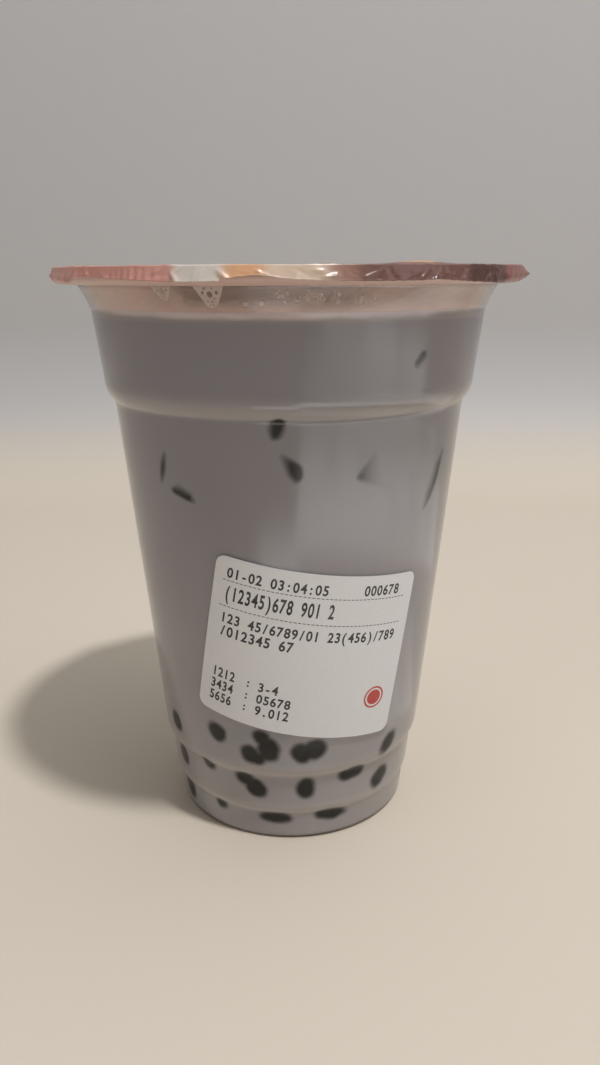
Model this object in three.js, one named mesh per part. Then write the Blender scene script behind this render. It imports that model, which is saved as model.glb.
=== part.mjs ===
// Taro bubble tea in a sealed clear cup: a round tapering cup with a rolled rim, the drink with a thin
// froth on it, a crimped sealing film over the rim and a paper label on the wall.
// Millimetres, +Z up, origin at the centre of the foot. The label faces -Y.
import * as THREE from 'three';

// Cup: overall sizes and the plastic sheet it is formed from
const CUP_HEIGHT = 120;
const RIM_RADIUS = 47.5;
const RIM_DROP = 3.1;
const RIM_ROUND = 0.9;
const SHEET = 0.7;
const FLOOR = 0.9;

// Cup: foot ring and the pushed-up middle of the base
const FOOT_RADIUS = 25.2;
const FOOT_CORNER = 1.2;
const FOOT_RING = 2.8;
const KICK_UP = 1.6;
const KICK_SLOPE = 1.0;

// Cup: rounded steps in the wall. Each turns in from its top to a sharp crease below.
const LOWER_STEP = { creaseRadius: 26.95, creaseHeight: 7.0, topRadius: 27.75, topHeight: 9.4 };
const UPPER_STEP = { creaseRadius: 28.45, creaseHeight: 16.8, topRadius: 29.7, topHeight: 19.8 };
const SHOULDER = { creaseRadius: 37.0, creaseHeight: 93.8, topRadius: 38.95, topHeight: 98.2 };
const STEP_FULLNESS = 0.4;

// Cup: flared neck between the collar and the rim
const NECK_BEND_RADIUS = 40.65;
const NECK_BEND_HEIGHT = 111.9;
const NECK_TOP_RADIUS = 43.1;
const NECK_HOLLOW = 0.35;

// Contents
const DRINK_LEVEL = 111.3;
const FROTH_TOP = 112.3;
const FROTH_RING_TOP = 113.1;
const FROTH_RING_WIDTH = 2.6;

// Sealing film: a shallow crown over the mouth and a crimped skirt outside the rim
const FILM_SHEET = 0.3;
const FILM_CROWN = 0.9;
const SKIRT_DROP = 2.3;
const SKIRT_FLARE = 0.3;
const CRIMP_OUT = 0.9;
const HEM_RISE = 0.7;
const EDGE_ROUND = 0.7;

// Label: a sticker turned a little clockwise on the tapering wall
const LABEL_WIDTH = 43.6;
const LABEL_HEIGHT = 36.4;
const LABEL_CORNER = 2;
const LABEL_SHEET = 0.2;
const LABEL_MIDDLE_HEIGHT = 45.8;
const LABEL_TURN = THREE.MathUtils.degToRad(7.4);
const LABEL_TILT = THREE.MathUtils.degToRad(-9.8);
const LABEL_COLUMNS = 12;
const LABEL_ROWS = 10;

// Clearance between pieces that touch, and how finely round pieces are divided
const GAP = 0.2;
const SIDES = 60;
const FILM_SIDES = 84;
const CURVE_STEPS = 3;

const part = new THREE.Group();

function addPiece(name, geometry, color, roughness) {
  const material = new THREE.MeshStandardMaterial({ color, roughness, metalness: 0 });
  const mesh = new THREE.Mesh(geometry, material);
  mesh.name = name;
  part.add(mesh);
}

// Turns an outline of (radius, height) points about the vertical axis.
function turned(points, sides) {
  return new THREE.LatheGeometry(points, sides).rotateX(Math.PI / 2);
}

// Adds one rounded step to an outline that climbs the wall.
function climbStep(outline, step, inset) {
  const rise = step.topHeight - step.creaseHeight;
  outline.lineTo(step.creaseRadius - inset, step.creaseHeight);
  outline.quadraticCurveTo(
    step.topRadius - inset, step.creaseHeight + rise * STEP_FULLNESS,
    step.topRadius - inset, step.topHeight,
  );
}

// Radius of the collar's outer face between the shoulder and the neck.
function collarRadius(height) {
  const share = (height - SHOULDER.topHeight) / (NECK_BEND_HEIGHT - SHOULDER.topHeight);
  return THREE.MathUtils.lerp(SHOULDER.topRadius, NECK_BEND_RADIUS, share);
}

// Outline of base and wall from the axis up to a height on the collar. Inset moves the wall in and
// lift raises the floor, so the same outline gives the cup's outside, its inside and the drink.
function bowlOutline(inset, lift, topHeight) {
  const ringInner = FOOT_RADIUS - FOOT_RING + inset;
  const footOuter = FOOT_RADIUS - inset;
  const outline = new THREE.Path();
  outline.moveTo(0, KICK_UP + lift);
  outline.lineTo(ringInner - KICK_SLOPE, KICK_UP + lift);
  outline.lineTo(ringInner, lift);
  outline.lineTo(footOuter, lift);
  outline.quadraticCurveTo(footOuter + FOOT_CORNER, lift, footOuter + FOOT_CORNER, lift + FOOT_CORNER);
  climbStep(outline, LOWER_STEP, inset);
  climbStep(outline, UPPER_STEP, inset);
  climbStep(outline, SHOULDER, inset);
  outline.lineTo(collarRadius(topHeight) - inset, topHeight);
  return outline;
}

// Carries an outline from the bend of the neck up to a height under the rim.
function climbNeck(outline, inset, topHeight) {
  const middleRadius = (NECK_BEND_RADIUS + NECK_TOP_RADIUS) / 2 - NECK_HOLLOW - inset;
  const middleHeight = (NECK_BEND_HEIGHT + topHeight) / 2;
  outline.quadraticCurveTo(middleRadius, middleHeight, NECK_TOP_RADIUS - inset, topHeight);
}

// The sheet runs up the outside, out over the rim, down its turned edge and back down the inside.
function cupShape() {
  const outside = bowlOutline(0, 0, NECK_BEND_HEIGHT);
  climbNeck(outside, 0, CUP_HEIGHT - RIM_DROP);
  outside.lineTo(NECK_TOP_RADIUS, CUP_HEIGHT - SHEET);
  outside.lineTo(RIM_RADIUS - SHEET, CUP_HEIGHT - SHEET);
  outside.lineTo(RIM_RADIUS - SHEET, CUP_HEIGHT - RIM_DROP);
  outside.lineTo(RIM_RADIUS, CUP_HEIGHT - RIM_DROP);
  outside.lineTo(RIM_RADIUS, CUP_HEIGHT - RIM_ROUND);
  outside.quadraticCurveTo(RIM_RADIUS, CUP_HEIGHT, RIM_RADIUS - RIM_ROUND, CUP_HEIGHT);
  const inside = bowlOutline(SHEET, FLOOR, NECK_BEND_HEIGHT);
  climbNeck(inside, SHEET, CUP_HEIGHT - RIM_DROP);
  inside.lineTo(NECK_TOP_RADIUS - SHEET, CUP_HEIGHT - RIM_ROUND);
  inside.lineTo(NECK_TOP_RADIUS - SHEET + RIM_ROUND, CUP_HEIGHT);
  const down = inside.getPoints(CURVE_STEPS).reverse();
  return turned([...outside.getPoints(CURVE_STEPS), ...down], SIDES);
}

function drinkShape() {
  const outline = bowlOutline(SHEET + GAP, FLOOR + GAP, DRINK_LEVEL);
  outline.lineTo(0, DRINK_LEVEL);
  return turned(outline.getPoints(CURVE_STEPS), SIDES);
}

// A thin layer over the whole drink that climbs into a low ring against the wall.
function frothShape() {
  const radius = collarRadius(DRINK_LEVEL) - SHEET - GAP;
  const outline = new THREE.Path();
  outline.moveTo(0, DRINK_LEVEL + GAP);
  outline.lineTo(radius, DRINK_LEVEL + GAP);
  outline.lineTo(radius, FROTH_RING_TOP);
  outline.quadraticCurveTo(radius - FROTH_RING_WIDTH / 2, FROTH_TOP, radius - FROTH_RING_WIDTH, FROTH_TOP);
  outline.lineTo(0, FROTH_TOP);
  return turned(outline.getPoints(CURVE_STEPS), SIDES);
}

// Uneven waves that repeat every quarter turn, from 1 on the four axes down to about -1.
function crimp(angle) {
  return 0.5 * Math.cos(8 * angle) + 0.3 * Math.cos(20 * angle) + 0.2 * Math.cos(28 * angle);
}

// One face of the film from the axis out over the mouth and down the skirt.
function filmOutline(sheet) {
  const seat = CUP_HEIGHT + GAP + sheet;
  const skirtRadius = RIM_RADIUS + GAP + sheet;
  const hem = CUP_HEIGHT + GAP - SKIRT_DROP;
  const outline = new THREE.Path();
  outline.moveTo(0, seat + FILM_CROWN);
  outline.quadraticCurveTo(NECK_TOP_RADIUS / 2, seat + FILM_CROWN, NECK_TOP_RADIUS, seat);
  outline.lineTo(skirtRadius - EDGE_ROUND, seat);
  outline.quadraticCurveTo(skirtRadius, seat, skirtRadius, seat - EDGE_ROUND);
  outline.lineTo(skirtRadius + SKIRT_FLARE, (seat + hem) / 2);
  outline.lineTo(skirtRadius + SKIRT_FLARE, hem);
  return outline.getPoints(CURVE_STEPS);
}

// The skirt waves in and out, and its hem rises where it waves in.
function filmShape() {
  const film = turned([...filmOutline(0), ...filmOutline(FILM_SHEET).reverse()], FILM_SIDES);
  const position = film.attributes.position;
  const point = new THREE.Vector3();
  for (let i = 0; i < position.count; i += 1) {
    point.fromBufferAttribute(position, i);
    const depth = THREE.MathUtils.clamp((CUP_HEIGHT - point.z) / SKIRT_DROP, 0, 1);
    const wave = (1 + crimp(Math.atan2(point.y, point.x))) / 2;
    const radius = Math.hypot(point.x, point.y);
    const outward = radius > 0 ? 1 + (CRIMP_OUT * wave * depth) / radius : 1;
    const lift = HEM_RISE * (1 - wave) * depth;
    position.setXYZ(i, point.x * outward, point.y * outward, point.z + lift);
  }
  return film;
}

// How far the label's side edge moves in at a height, so that its corners are round.
function cornerInset(fromMiddle) {
  const intoCorner = Math.max(0, Math.abs(fromMiddle) - (LABEL_HEIGHT / 2 - LABEL_CORNER));
  return LABEL_CORNER - Math.sqrt(LABEL_CORNER ** 2 - intoCorner ** 2);
}

// A flat sheet, with rows drawn closer near its ends, rolled onto the cone of the wall.
function labelShape() {
  const taper = (SHOULDER.creaseRadius - UPPER_STEP.topRadius) / (SHOULDER.creaseHeight - UPPER_STEP.topHeight);
  const coneAngle = Math.atan(taper);
  const apexHeight = UPPER_STEP.topHeight - UPPER_STEP.topRadius / taper;
  const middleSlant = (LABEL_MIDDLE_HEIGHT - apexHeight) / Math.cos(coneAngle);
  const sheet = new THREE.BoxGeometry(LABEL_WIDTH, LABEL_HEIGHT, LABEL_SHEET, LABEL_COLUMNS, LABEL_ROWS, 1);
  const position = sheet.attributes.position;
  const spot = new THREE.Vector2();
  const origin = new THREE.Vector2();
  for (let i = 0; i < position.count; i += 1) {
    const row = (position.getY(i) / LABEL_HEIGHT) * Math.PI;
    const across = (LABEL_HEIGHT / 2) * Math.sin(row);
    const along = position.getX(i) * (1 - cornerInset(across) / (LABEL_WIDTH / 2));
    spot.set(along, across).rotateAround(origin, LABEL_TILT);
    const slant = Math.hypot(spot.x, middleSlant + spot.y);
    const turn = LABEL_TURN + Math.atan2(spot.x, middleSlant + spot.y) / Math.sin(coneAngle);
    const radius = slant * Math.sin(coneAngle) + GAP + LABEL_SHEET / 2 + position.getZ(i);
    const height = apexHeight + slant * Math.cos(coneAngle);
    position.setXYZ(i, radius * Math.sin(turn), -radius * Math.cos(turn), height);
  }
  return sheet;
}

addPiece('cup', cupShape(), 0xdedcd8, 0.25);
addPiece('drink', drinkShape(), 0x8d827e, 0.45);
addPiece('froth', frothShape(), 0xb39e94, 0.7);
addPiece('sealing_film', filmShape(), 0xb07f6f, 0.3);
addPiece('label', labelShape(), 0xd8d3cf, 0.75);

export default part;
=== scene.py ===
import math

import bmesh
import bpy
import numpy as np
from mathutils import Matrix, Vector
from mathutils.geometry import delaunay_2d_cdt


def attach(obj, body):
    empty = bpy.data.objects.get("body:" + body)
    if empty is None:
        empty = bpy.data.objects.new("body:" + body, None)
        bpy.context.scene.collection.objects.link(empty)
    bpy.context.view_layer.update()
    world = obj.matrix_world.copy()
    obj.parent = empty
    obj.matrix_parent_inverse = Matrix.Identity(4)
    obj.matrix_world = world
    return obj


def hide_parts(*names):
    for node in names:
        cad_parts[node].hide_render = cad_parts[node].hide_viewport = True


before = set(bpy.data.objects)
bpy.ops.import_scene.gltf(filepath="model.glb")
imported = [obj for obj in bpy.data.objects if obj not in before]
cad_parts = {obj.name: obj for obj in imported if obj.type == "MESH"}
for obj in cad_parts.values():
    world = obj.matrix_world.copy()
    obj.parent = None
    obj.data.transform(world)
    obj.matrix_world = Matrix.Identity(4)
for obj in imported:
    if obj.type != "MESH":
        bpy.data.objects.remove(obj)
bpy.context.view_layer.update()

# Taro bubble tea in a sealed clear cup. Sizes are in millimetres until a mesh is made, with +Z up, the
# origin at the centre of the foot and the label towards -Y. A turn is an angle about the axis from -Y.
MM = 0.001
SEED = 11

# Cup, with the same driving sizes as its solid
CUP_HEIGHT = 120.0
RIM_RADIUS = 47.5
RIM_DROP = 3.1
RIM_ROUND = 0.9
# The rim's outer face bellies out towards this place and then rolls in to the tuck
RIM_BELLY = (48.1, 117.3)
RIM_TUCK = 45.4
SHEET = 0.7
FLOOR = 0.9
FOOT_RADIUS = 25.2
FOOT_CORNER = 1.2
FOOT_RING = 2.8
KICK_UP = 1.6
KICK_SLOPE = 1.0
# Steps: crease radius, crease height, top radius, top height
LOWER_STEP = (26.95, 7.0, 27.75, 9.4)
UPPER_STEP = (28.45, 16.8, 29.7, 19.8)
SHOULDER = (37.0, 93.8, 38.95, 98.2)
STEP_FULLNESS = 0.4
NECK_BEND_RADIUS = 40.65
NECK_BEND_HEIGHT = 111.9
NECK_TOP_RADIUS = 43.1
NECK_HOLLOW = 0.35
CUP_SIDES = 240
CUP_SPACING = 1.0

# Contents. The drink is drawn out to the middle of the wall, so that no air shows behind the plastic.
DRINK_LEVEL = 111.3
DRINK_INSET = 0.35
DRINK_SIDES = 360
DRINK_SPACING = 0.6
DRINK_TOP_SPACING = 3.0
FROTH_TOP = 112.3
FROTH_FOOT = DRINK_LEVEL - 0.4
FROTH_RING_TOP = 112.9
FROTH_RING_WIDTH = 2.6
FROTH_SIDES = 320
FROTH_SPACING = 1.5
FROTH_EDGE_SPACING = 0.4

# Label
LABEL_WIDTH = 43.6
LABEL_HEIGHT = 36.4
LABEL_CORNER = 2.0
LABEL_MIDDLE_HEIGHT = 45.8
LABEL_TURN = math.radians(7.4)
LABEL_TILT = math.radians(-9.8)
LABEL_ROWS = 81
LABEL_COLUMNS = 97
PAPER_BACK = 0.03
PAPER_FRONT = 0.14
INK_FRONT = 0.155

# Cone of the tapering wall between the upper step and the shoulder
TAPER = (SHOULDER[0] - UPPER_STEP[2]) / (SHOULDER[1] - UPPER_STEP[3])
CONE_ANGLE = math.atan(TAPER)
CONE_APEX = UPPER_STEP[3] - UPPER_STEP[2] / TAPER
LABEL_SLANT = (LABEL_MIDDLE_HEIGHT - CONE_APEX) / math.cos(CONE_ANGLE)


# Outlines

class Outline:
    """A chain of (radius, height) points that is turned about the cup's axis."""

    def __init__(self, radius, height, spacing):
        self.points = [(radius, height)]
        self.spacing = spacing

    def line(self, radius, height):
        steps = max(1, math.ceil(math.dist(self.points[-1], (radius, height)) / self.spacing))
        start, end = np.array(self.points[-1]), np.array((radius, height))
        for share in np.linspace(0, 1, steps + 1)[1:]:
            self.points.append(tuple(start + (end - start) * share))

    def curve(self, control, radius, height, steps=8):
        start, middle, end = np.array((self.points[-1], control, (radius, height)))
        for t in np.linspace(0, 1, steps + 1)[1:]:
            self.points.append(tuple((1 - t) ** 2 * start + 2 * t * (1 - t) * middle + t ** 2 * end))

    def step(self, step, inset):
        crease_radius, crease_height, top_radius, top_height = step
        control_height = crease_height + (top_height - crease_height) * STEP_FULLNESS
        self.line(crease_radius - inset, crease_height)
        self.curve((top_radius - inset, control_height), top_radius - inset, top_height)


def collar_radius(height):
    """Outer radius of the collar between the shoulder and the bend of the neck."""
    share = (height - SHOULDER[3]) / (NECK_BEND_HEIGHT - SHOULDER[3])
    return SHOULDER[2] + (NECK_BEND_RADIUS - SHOULDER[2]) * share


def bowl_outline(inset, lift, top_height, spacing):
    """Base and wall from the axis up to a height on the collar, moved in by inset and up by lift."""
    ring_inner = FOOT_RADIUS - FOOT_RING + inset
    foot_outer = FOOT_RADIUS - inset
    side = foot_outer + FOOT_CORNER
    outline = Outline(0, KICK_UP + lift, spacing)
    outline.line(ring_inner - KICK_SLOPE, KICK_UP + lift)
    outline.line(ring_inner, lift)
    outline.line(foot_outer, lift)
    outline.curve((side, lift), side, lift + FOOT_CORNER)
    for step in (LOWER_STEP, UPPER_STEP, SHOULDER):
        outline.step(step, inset)
    outline.line(collar_radius(top_height) - inset, top_height)
    return outline


def climb_neck(outline, inset):
    """Carries an outline up the flared neck to the underside of the rim."""
    top_height = CUP_HEIGHT - RIM_DROP
    middle = (NECK_BEND_RADIUS + NECK_TOP_RADIUS) / 2 - NECK_HOLLOW - inset
    outline.curve((middle, (NECK_BEND_HEIGHT + top_height) / 2), NECK_TOP_RADIUS - inset, top_height)


def climb_rim(outline):
    """Carries an outline from the rolled-in edge of the rim up its outer face."""
    outline.curve(RIM_BELLY, RIM_RADIUS, CUP_HEIGHT - RIM_ROUND, steps=12)


def wall_radius(height, inset=0.0):
    """Radius of the cup's wall at one height or many."""
    wall = bowl_outline(0, 0, NECK_BEND_HEIGHT, CUP_SPACING)
    climb_neck(wall, 0)
    wall.line(NECK_TOP_RADIUS, CUP_HEIGHT)
    side = np.array([point for point in wall.points if point[0] > FOOT_RADIUS])
    return np.interp(height, side[:, 1], side[:, 0]) - inset


def around(turn, radius, height):
    """Places in metres from turns in radians, radii and heights."""
    right, back = radius * np.sin(turn), -radius * np.cos(turn)
    return np.stack((right, back, height * np.ones_like(turn)), axis=-1) * MM


def turns_of(points):
    """The turn of each point in radians."""
    return np.arctan2(points[:, 0], -points[:, 1])


def off_turn(turn, middle):
    """Turns in radians counted from a middle in degrees, the short way round."""
    return (turn - math.radians(middle) + math.pi) % math.tau - math.pi


def stretch(turn, middle, half_width):
    """1 in the middle of a stretch and 0 well outside it. The stretch is given in degrees."""
    return np.exp(-(off_turn(turn, middle) / math.radians(half_width)) ** 4)


def ripple(turn, waves, draw):
    """An uneven closed wave about the axis, from -1 to 1, as a sum of the given numbers of waves."""
    total = sum(np.cos(count * turn + draw.uniform(0, math.tau)) for count in waves)
    return total / len(waves)


# Node trees

def linear(colour):
    """Linear colour with alpha 1 from an sRGB hex value such as "#c8b2a2"."""
    shares = [int(colour[i:i + 2], 16) / 255 for i in (1, 3, 5)]
    return [s / 12.92 if s <= 0.04045 else ((s + 0.055) / 1.055) ** 2.4 for s in shares] + [1.0]


def add(tree, kind, inputs=None, **settings):
    """Adds a node with its settings. An input is a value, or a socket or node to link from."""
    made = tree.nodes.new(kind)
    for name, value in settings.items():
        setattr(made, name, value)
    for name, value in (inputs or {}).items():
        if isinstance(value, bpy.types.Node):
            value = value.outputs[0]
        if isinstance(value, bpy.types.NodeSocket):
            tree.links.new(value, made.inputs[name])
        else:
            made.inputs[name].default_value = value
    return made


def new_tree(name, **sockets):
    """An empty geometry tree with one geometry in and out and the named inputs."""
    tree = bpy.data.node_groups.new(name, "GeometryNodeTree")
    tree.interface.new_socket("Geometry", in_out="INPUT", socket_type="NodeSocketGeometry")
    for socket, kind in sockets.items():
        tree.interface.new_socket(socket, in_out="INPUT", socket_type=f"NodeSocket{kind}")
    tree.interface.new_socket("Geometry", in_out="OUTPUT", socket_type="NodeSocketGeometry")
    return tree, tree.nodes.new("NodeGroupInput").outputs


def end_tree(tree, shape, finish, smooth):
    """Ends a geometry tree: shades the shape, gives it its finish and hands it out."""
    shaded = add(tree, "GeometryNodeSetShadeSmooth", {"Geometry": shape, "Shade Smooth": smooth})
    finished = add(tree, "GeometryNodeSetMaterial", {"Geometry": shaded, "Material": finish})
    add(tree, "NodeGroupOutput", {"Geometry": finished})


def lathe_tree():
    """Turns a chain of points, x as radius and z as height, into a closed round shape."""
    tree, given = new_tree("turned_about_axis", Sides="Int", Finish="Material")
    chain = given["Geometry"]
    count = add(tree, "GeometryNodeAttributeDomainSize", {"Geometry": chain}).outputs["Point Count"]
    columns = add(tree, "ShaderNodeMath", {0: given["Sides"], 1: 1.0}, operation="ADD")
    grid = add(tree, "GeometryNodeMeshGrid", {"Vertices X": columns, "Vertices Y": count})
    index = add(tree, "GeometryNodeInputIndex")
    share = add(tree, "ShaderNodeMath", {0: index, 1: count}, operation="DIVIDE")
    column = add(tree, "ShaderNodeMath", {0: share}, operation="FLOOR")
    row = add(tree, "ShaderNodeMath", {0: index, 1: count}, operation="MODULO")
    place = add(tree, "GeometryNodeInputPosition")
    sample = add(tree, "GeometryNodeSampleIndex", {"Geometry": chain, "Index": row, "Value": place},
                 data_type="FLOAT_VECTOR")
    outline = add(tree, "ShaderNodeSeparateXYZ", {0: sample}).outputs
    step = add(tree, "ShaderNodeMath", {0: math.tau, 1: given["Sides"]}, operation="DIVIDE")
    angle = add(tree, "ShaderNodeMath", {0: column, 1: step}, operation="MULTIPLY")
    sine = add(tree, "ShaderNodeMath", {0: angle}, operation="SINE")
    cosine = add(tree, "ShaderNodeMath", {0: angle}, operation="COSINE")
    right = add(tree, "ShaderNodeMath", {0: outline["X"], 1: sine}, operation="MULTIPLY")
    front = add(tree, "ShaderNodeMath", {0: outline["X"], 1: cosine}, operation="MULTIPLY")
    back = add(tree, "ShaderNodeMath", {0: front, 1: -1.0}, operation="MULTIPLY")
    turned = add(tree, "ShaderNodeCombineXYZ", {"X": right, "Y": back, "Z": outline["Z"]})
    moved = add(tree, "GeometryNodeSetPosition", {"Geometry": grid, "Position": turned})
    closed = add(tree, "GeometryNodeMergeByDistance", {"Geometry": moved, "Distance": 1e-6})
    end_tree(tree, closed, given["Finish"], True)
    return tree


def lumps_tree():
    """Sets an uneven round lump on each point, by the point's half_size and facing."""
    tree, given = new_tree("lumps_on_points", Subdivisions="Int", Unevenness="Float", Wave="Float",
                           Finish="Material")
    ball = add(tree, "GeometryNodeMeshIcoSphere", {"Radius": 1.0, "Subdivisions": given["Subdivisions"]})
    size, facing = (add(tree, "GeometryNodeInputNamedAttribute", {"Name": name}, data_type="FLOAT_VECTOR")
                    for name in ("half_size", "facing"))
    rotation = add(tree, "FunctionNodeEulerToRotation", {0: facing})
    lumps = add(tree, "GeometryNodeInstanceOnPoints",
                {"Points": given["Geometry"], "Instance": ball, "Rotation": rotation, "Scale": size})
    real = add(tree, "GeometryNodeRealizeInstances", {"Geometry": lumps})
    turns = add(tree, "ShaderNodeMath", {0: 1.0, 1: given["Wave"]}, operation="DIVIDE")
    noise = add(tree, "ShaderNodeTexNoise", {"Scale": turns, "Detail": 1.0})
    swing = add(tree, "ShaderNodeMath", {0: noise, 1: -0.5}, operation="ADD")
    amount = add(tree, "ShaderNodeMath", {0: swing, 1: given["Unevenness"]}, operation="MULTIPLY")
    normal = add(tree, "GeometryNodeInputNormal")
    shift = add(tree, "ShaderNodeVectorMath", {0: normal, "Scale": amount}, operation="SCALE")
    moved = add(tree, "GeometryNodeSetPosition", {"Geometry": real, "Offset": shift})
    end_tree(tree, moved, given["Finish"], True)
    return tree


def gaps_tree():
    """Stores on each point of the drink how far the nearest pearl and the nearest ice are."""
    tree, given = new_tree("gaps_to_sunk_pieces", Pearls="Object", Ice="Object")
    stored = given["Geometry"]
    for socket, name in (("Pearls", "pearl_gap"), ("Ice", "ice_gap")):
        sunk = add(tree, "GeometryNodeObjectInfo", {"Object": given[socket]}).outputs["Geometry"]
        gap = add(tree, "GeometryNodeProximity", {0: sunk}, target_element="FACES").outputs["Distance"]
        stored = add(tree, "GeometryNodeStoreNamedAttribute",
                     {"Geometry": stored, "Name": name, "Value": gap}, data_type="FLOAT", domain="POINT")
    add(tree, "NodeGroupOutput", {"Geometry": stored})
    return tree


def dashes_tree():
    """Rows of short printed dashes, one row to the right of each point."""
    tree, given = new_tree("printed_dashes", Count="Int", Pitch="Float", Dash="Vector", Finish="Material")
    dash = add(tree, "GeometryNodeMeshCube", {"Size": given["Dash"]})
    step = add(tree, "ShaderNodeCombineXYZ", {"X": given["Pitch"]})
    row = add(tree, "GeometryNodeMeshLine", {"Count": given["Count"], "Offset": step}, mode="OFFSET")
    dashes = add(tree, "GeometryNodeInstanceOnPoints", {"Points": row, "Instance": dash})
    rows = add(tree, "GeometryNodeInstanceOnPoints", {"Points": given["Geometry"], "Instance": dashes})
    real = add(tree, "GeometryNodeRealizeInstances", {"Geometry": rows})
    end_tree(tree, real, given["Finish"], False)
    return tree


# Pieces

def new_piece(name, points, faces=(), finish=None):
    """A piece from points in metres and faces, in the frame of the whole cup."""
    mesh = bpy.data.meshes.new(name)
    mesh.from_pydata([tuple(point) for point in points], [], [tuple(face) for face in faces])
    if finish:
        mesh.materials.append(finish)
    piece = bpy.data.objects.new(name, mesh)
    bpy.context.scene.collection.objects.link(piece)
    return piece


def run_tree(piece, tree, **inputs):
    """Runs a node tree on a piece and keeps the result as a plain mesh."""
    modifier = piece.modifiers.new(tree.name, "NODES")
    modifier.node_group = tree
    for item in tree.interface.items_tree:
        if item.in_out == "INPUT" and item.name in inputs:
            modifier[item.identifier] = inputs[item.name]
    graph = bpy.context.evaluated_depsgraph_get()
    made = bpy.data.meshes.new_from_object(piece.evaluated_get(graph), depsgraph=graph)
    piece.modifiers.remove(modifier)
    plain = piece.data
    piece.data = made
    bpy.data.meshes.remove(plain)
    made.name = piece.name


def face_outwards(piece):
    """Turns every face of a closed piece outwards and shades it smooth."""
    shape = bmesh.new()
    shape.from_mesh(piece.data)
    bmesh.ops.recalc_face_normals(shape, faces=shape.faces)
    for face in shape.faces:
        face.smooth = True
    shape.to_mesh(piece.data)
    shape.free()


def keep_sharp(piece, degrees):
    """Leaves the edges of a smooth piece sharp where its faces meet at more than an angle."""
    piece.data.set_sharp_from_angle(angle=math.radians(degrees))


def sheet_faces(faces, front, back):
    """Faces of a thin sheet from those of one side: both sides, and a wall along each open edge."""
    made, border = [], set()
    for face in faces:
        made.append([front + i for i in face])
        made.append([back + i for i in reversed(face)])
        for edge in zip(face, face[1:] + face[:1]):
            border ^= {tuple(sorted(edge))}
    return made + [(front + i, front + j, back + j, back + i) for i, j in sorted(border)]


def turned(name, points, sides, finish):
    """A piece turned about the axis from (radius, height) points."""
    piece = new_piece(name, [(radius * MM, 0, height * MM) for radius, height in points])
    run_tree(piece, LATHE, Sides=sides, Finish=finish)
    face_outwards(piece)
    return piece


def get_points(piece):
    """Places of a piece's points, one in each row."""
    points = np.empty(len(piece.data.vertices) * 3)
    piece.data.vertices.foreach_get("co", points)
    return points.reshape(-1, 3)


def set_points(piece, points):
    """Moves a piece's points to new places."""
    piece.data.vertices.foreach_set("co", np.asarray(points, dtype=np.float32).ravel())
    piece.data.update()


def store(piece, name, values, kind="FLOAT"):
    """Stores a value or a vector on each point of a piece."""
    attribute = piece.data.attributes.new(name, kind, "POINT")
    field = "value" if kind == "FLOAT" else "vector"
    attribute.data.foreach_set(field, np.asarray(values, dtype=np.float32).ravel())


def belongs(piece, slot, *nodes):
    """Ties a piece to the cup's body and hides the nodes that it stands for. The slot argument is not used.
    """
    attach(piece, "root")
    if nodes:
        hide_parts(*nodes)


# Finishes

def new_material(name):
    """A material and its tree, which is empty yet."""
    material = bpy.data.materials.new(name)
    material.use_nodes = True
    material.node_tree.nodes.clear()
    return material, material.node_tree


def mottle(tree, place, size, dark, pale, detail=2.0, span=(0.0, 1.0)):
    """A noise with patches of a size in mm, and the tones from dark to pale that it gives."""
    noise = add(tree, "ShaderNodeTexNoise", {"Vector": place, "Scale": 1 / (size * MM), "Detail": detail})
    tones = add(tree, "ShaderNodeValToRGB", {0: noise})
    for stop, position, colour in zip(tones.color_ramp.elements, span, (dark, pale)):
        stop.position = position
        stop.color = linear(colour)
    return noise, tones


def polypropylene(name, tint, straight_tint, roughness, clearness):
    """Thermoformed polypropylene: glossy but a little hazy. Lamplight and scattered light pass straight."""
    material, tree = new_material(name)
    shown = add(tree, "ShaderNodeBsdfPrincipled", {
        "Base Color": linear(tint), "Roughness": roughness, "IOR": 1.49, "Transmission Weight": clearness})
    through = add(tree, "ShaderNodeBsdfTransparent", {"Color": linear(straight_tint)})
    ray = add(tree, "ShaderNodeLightPath").outputs
    for passing in ("Is Diffuse Ray", "Is Shadow Ray"):
        shown = add(tree, "ShaderNodeMixShader", {0: ray[passing], 1: shown, 2: through})
    add(tree, "ShaderNodeOutputMaterial", {"Surface": shown})
    return material


# Width of the drink's swirls
MILK_SWIRL = 26.0
# Painted shade: the drink is darker and greyer towards the top, standing in for the shade under the rim and
# film: between these heights, up to this share
TOP_SHADE_FROM = 10.0
TOP_SHADE_TO = 100.0
TOP_SHADE_SHARE = 0.72
# Cream under the froth: how far down and how strong
CREAM_DEPTH = 0.9
CREAM_SHARE = 0.25
# A painted highlight on each step of the wall, a pale band standing in for the table's light that the step
# catches:
# how strong, where it starts and is full about the crease, where it starts to fall above the crease and where
# it is gone above the top
STEP_HIGHLIGHT = 0.28
PALE_START = -0.2
PALE_FULL = 0.4
PALE_FALL = 1.0
PALE_END = 1.0
# What darkens the drink: the stored gap, how far off it fades, the colour where it touches. Near a pearl this
# is the pearl's own dark colour; near ice it is painted shade, as clear ice in the drink looks dark
SUNK_COLOUR_AND_SHADE = (("ice_gap", 0.7, "#040304"), ("pearl_gap", 1.2, "#060605"))
# Gap from the drink's outside to a piece that touches the wall
SUNK_SKIN = SHEET - DRINK_INSET + 0.08


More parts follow.
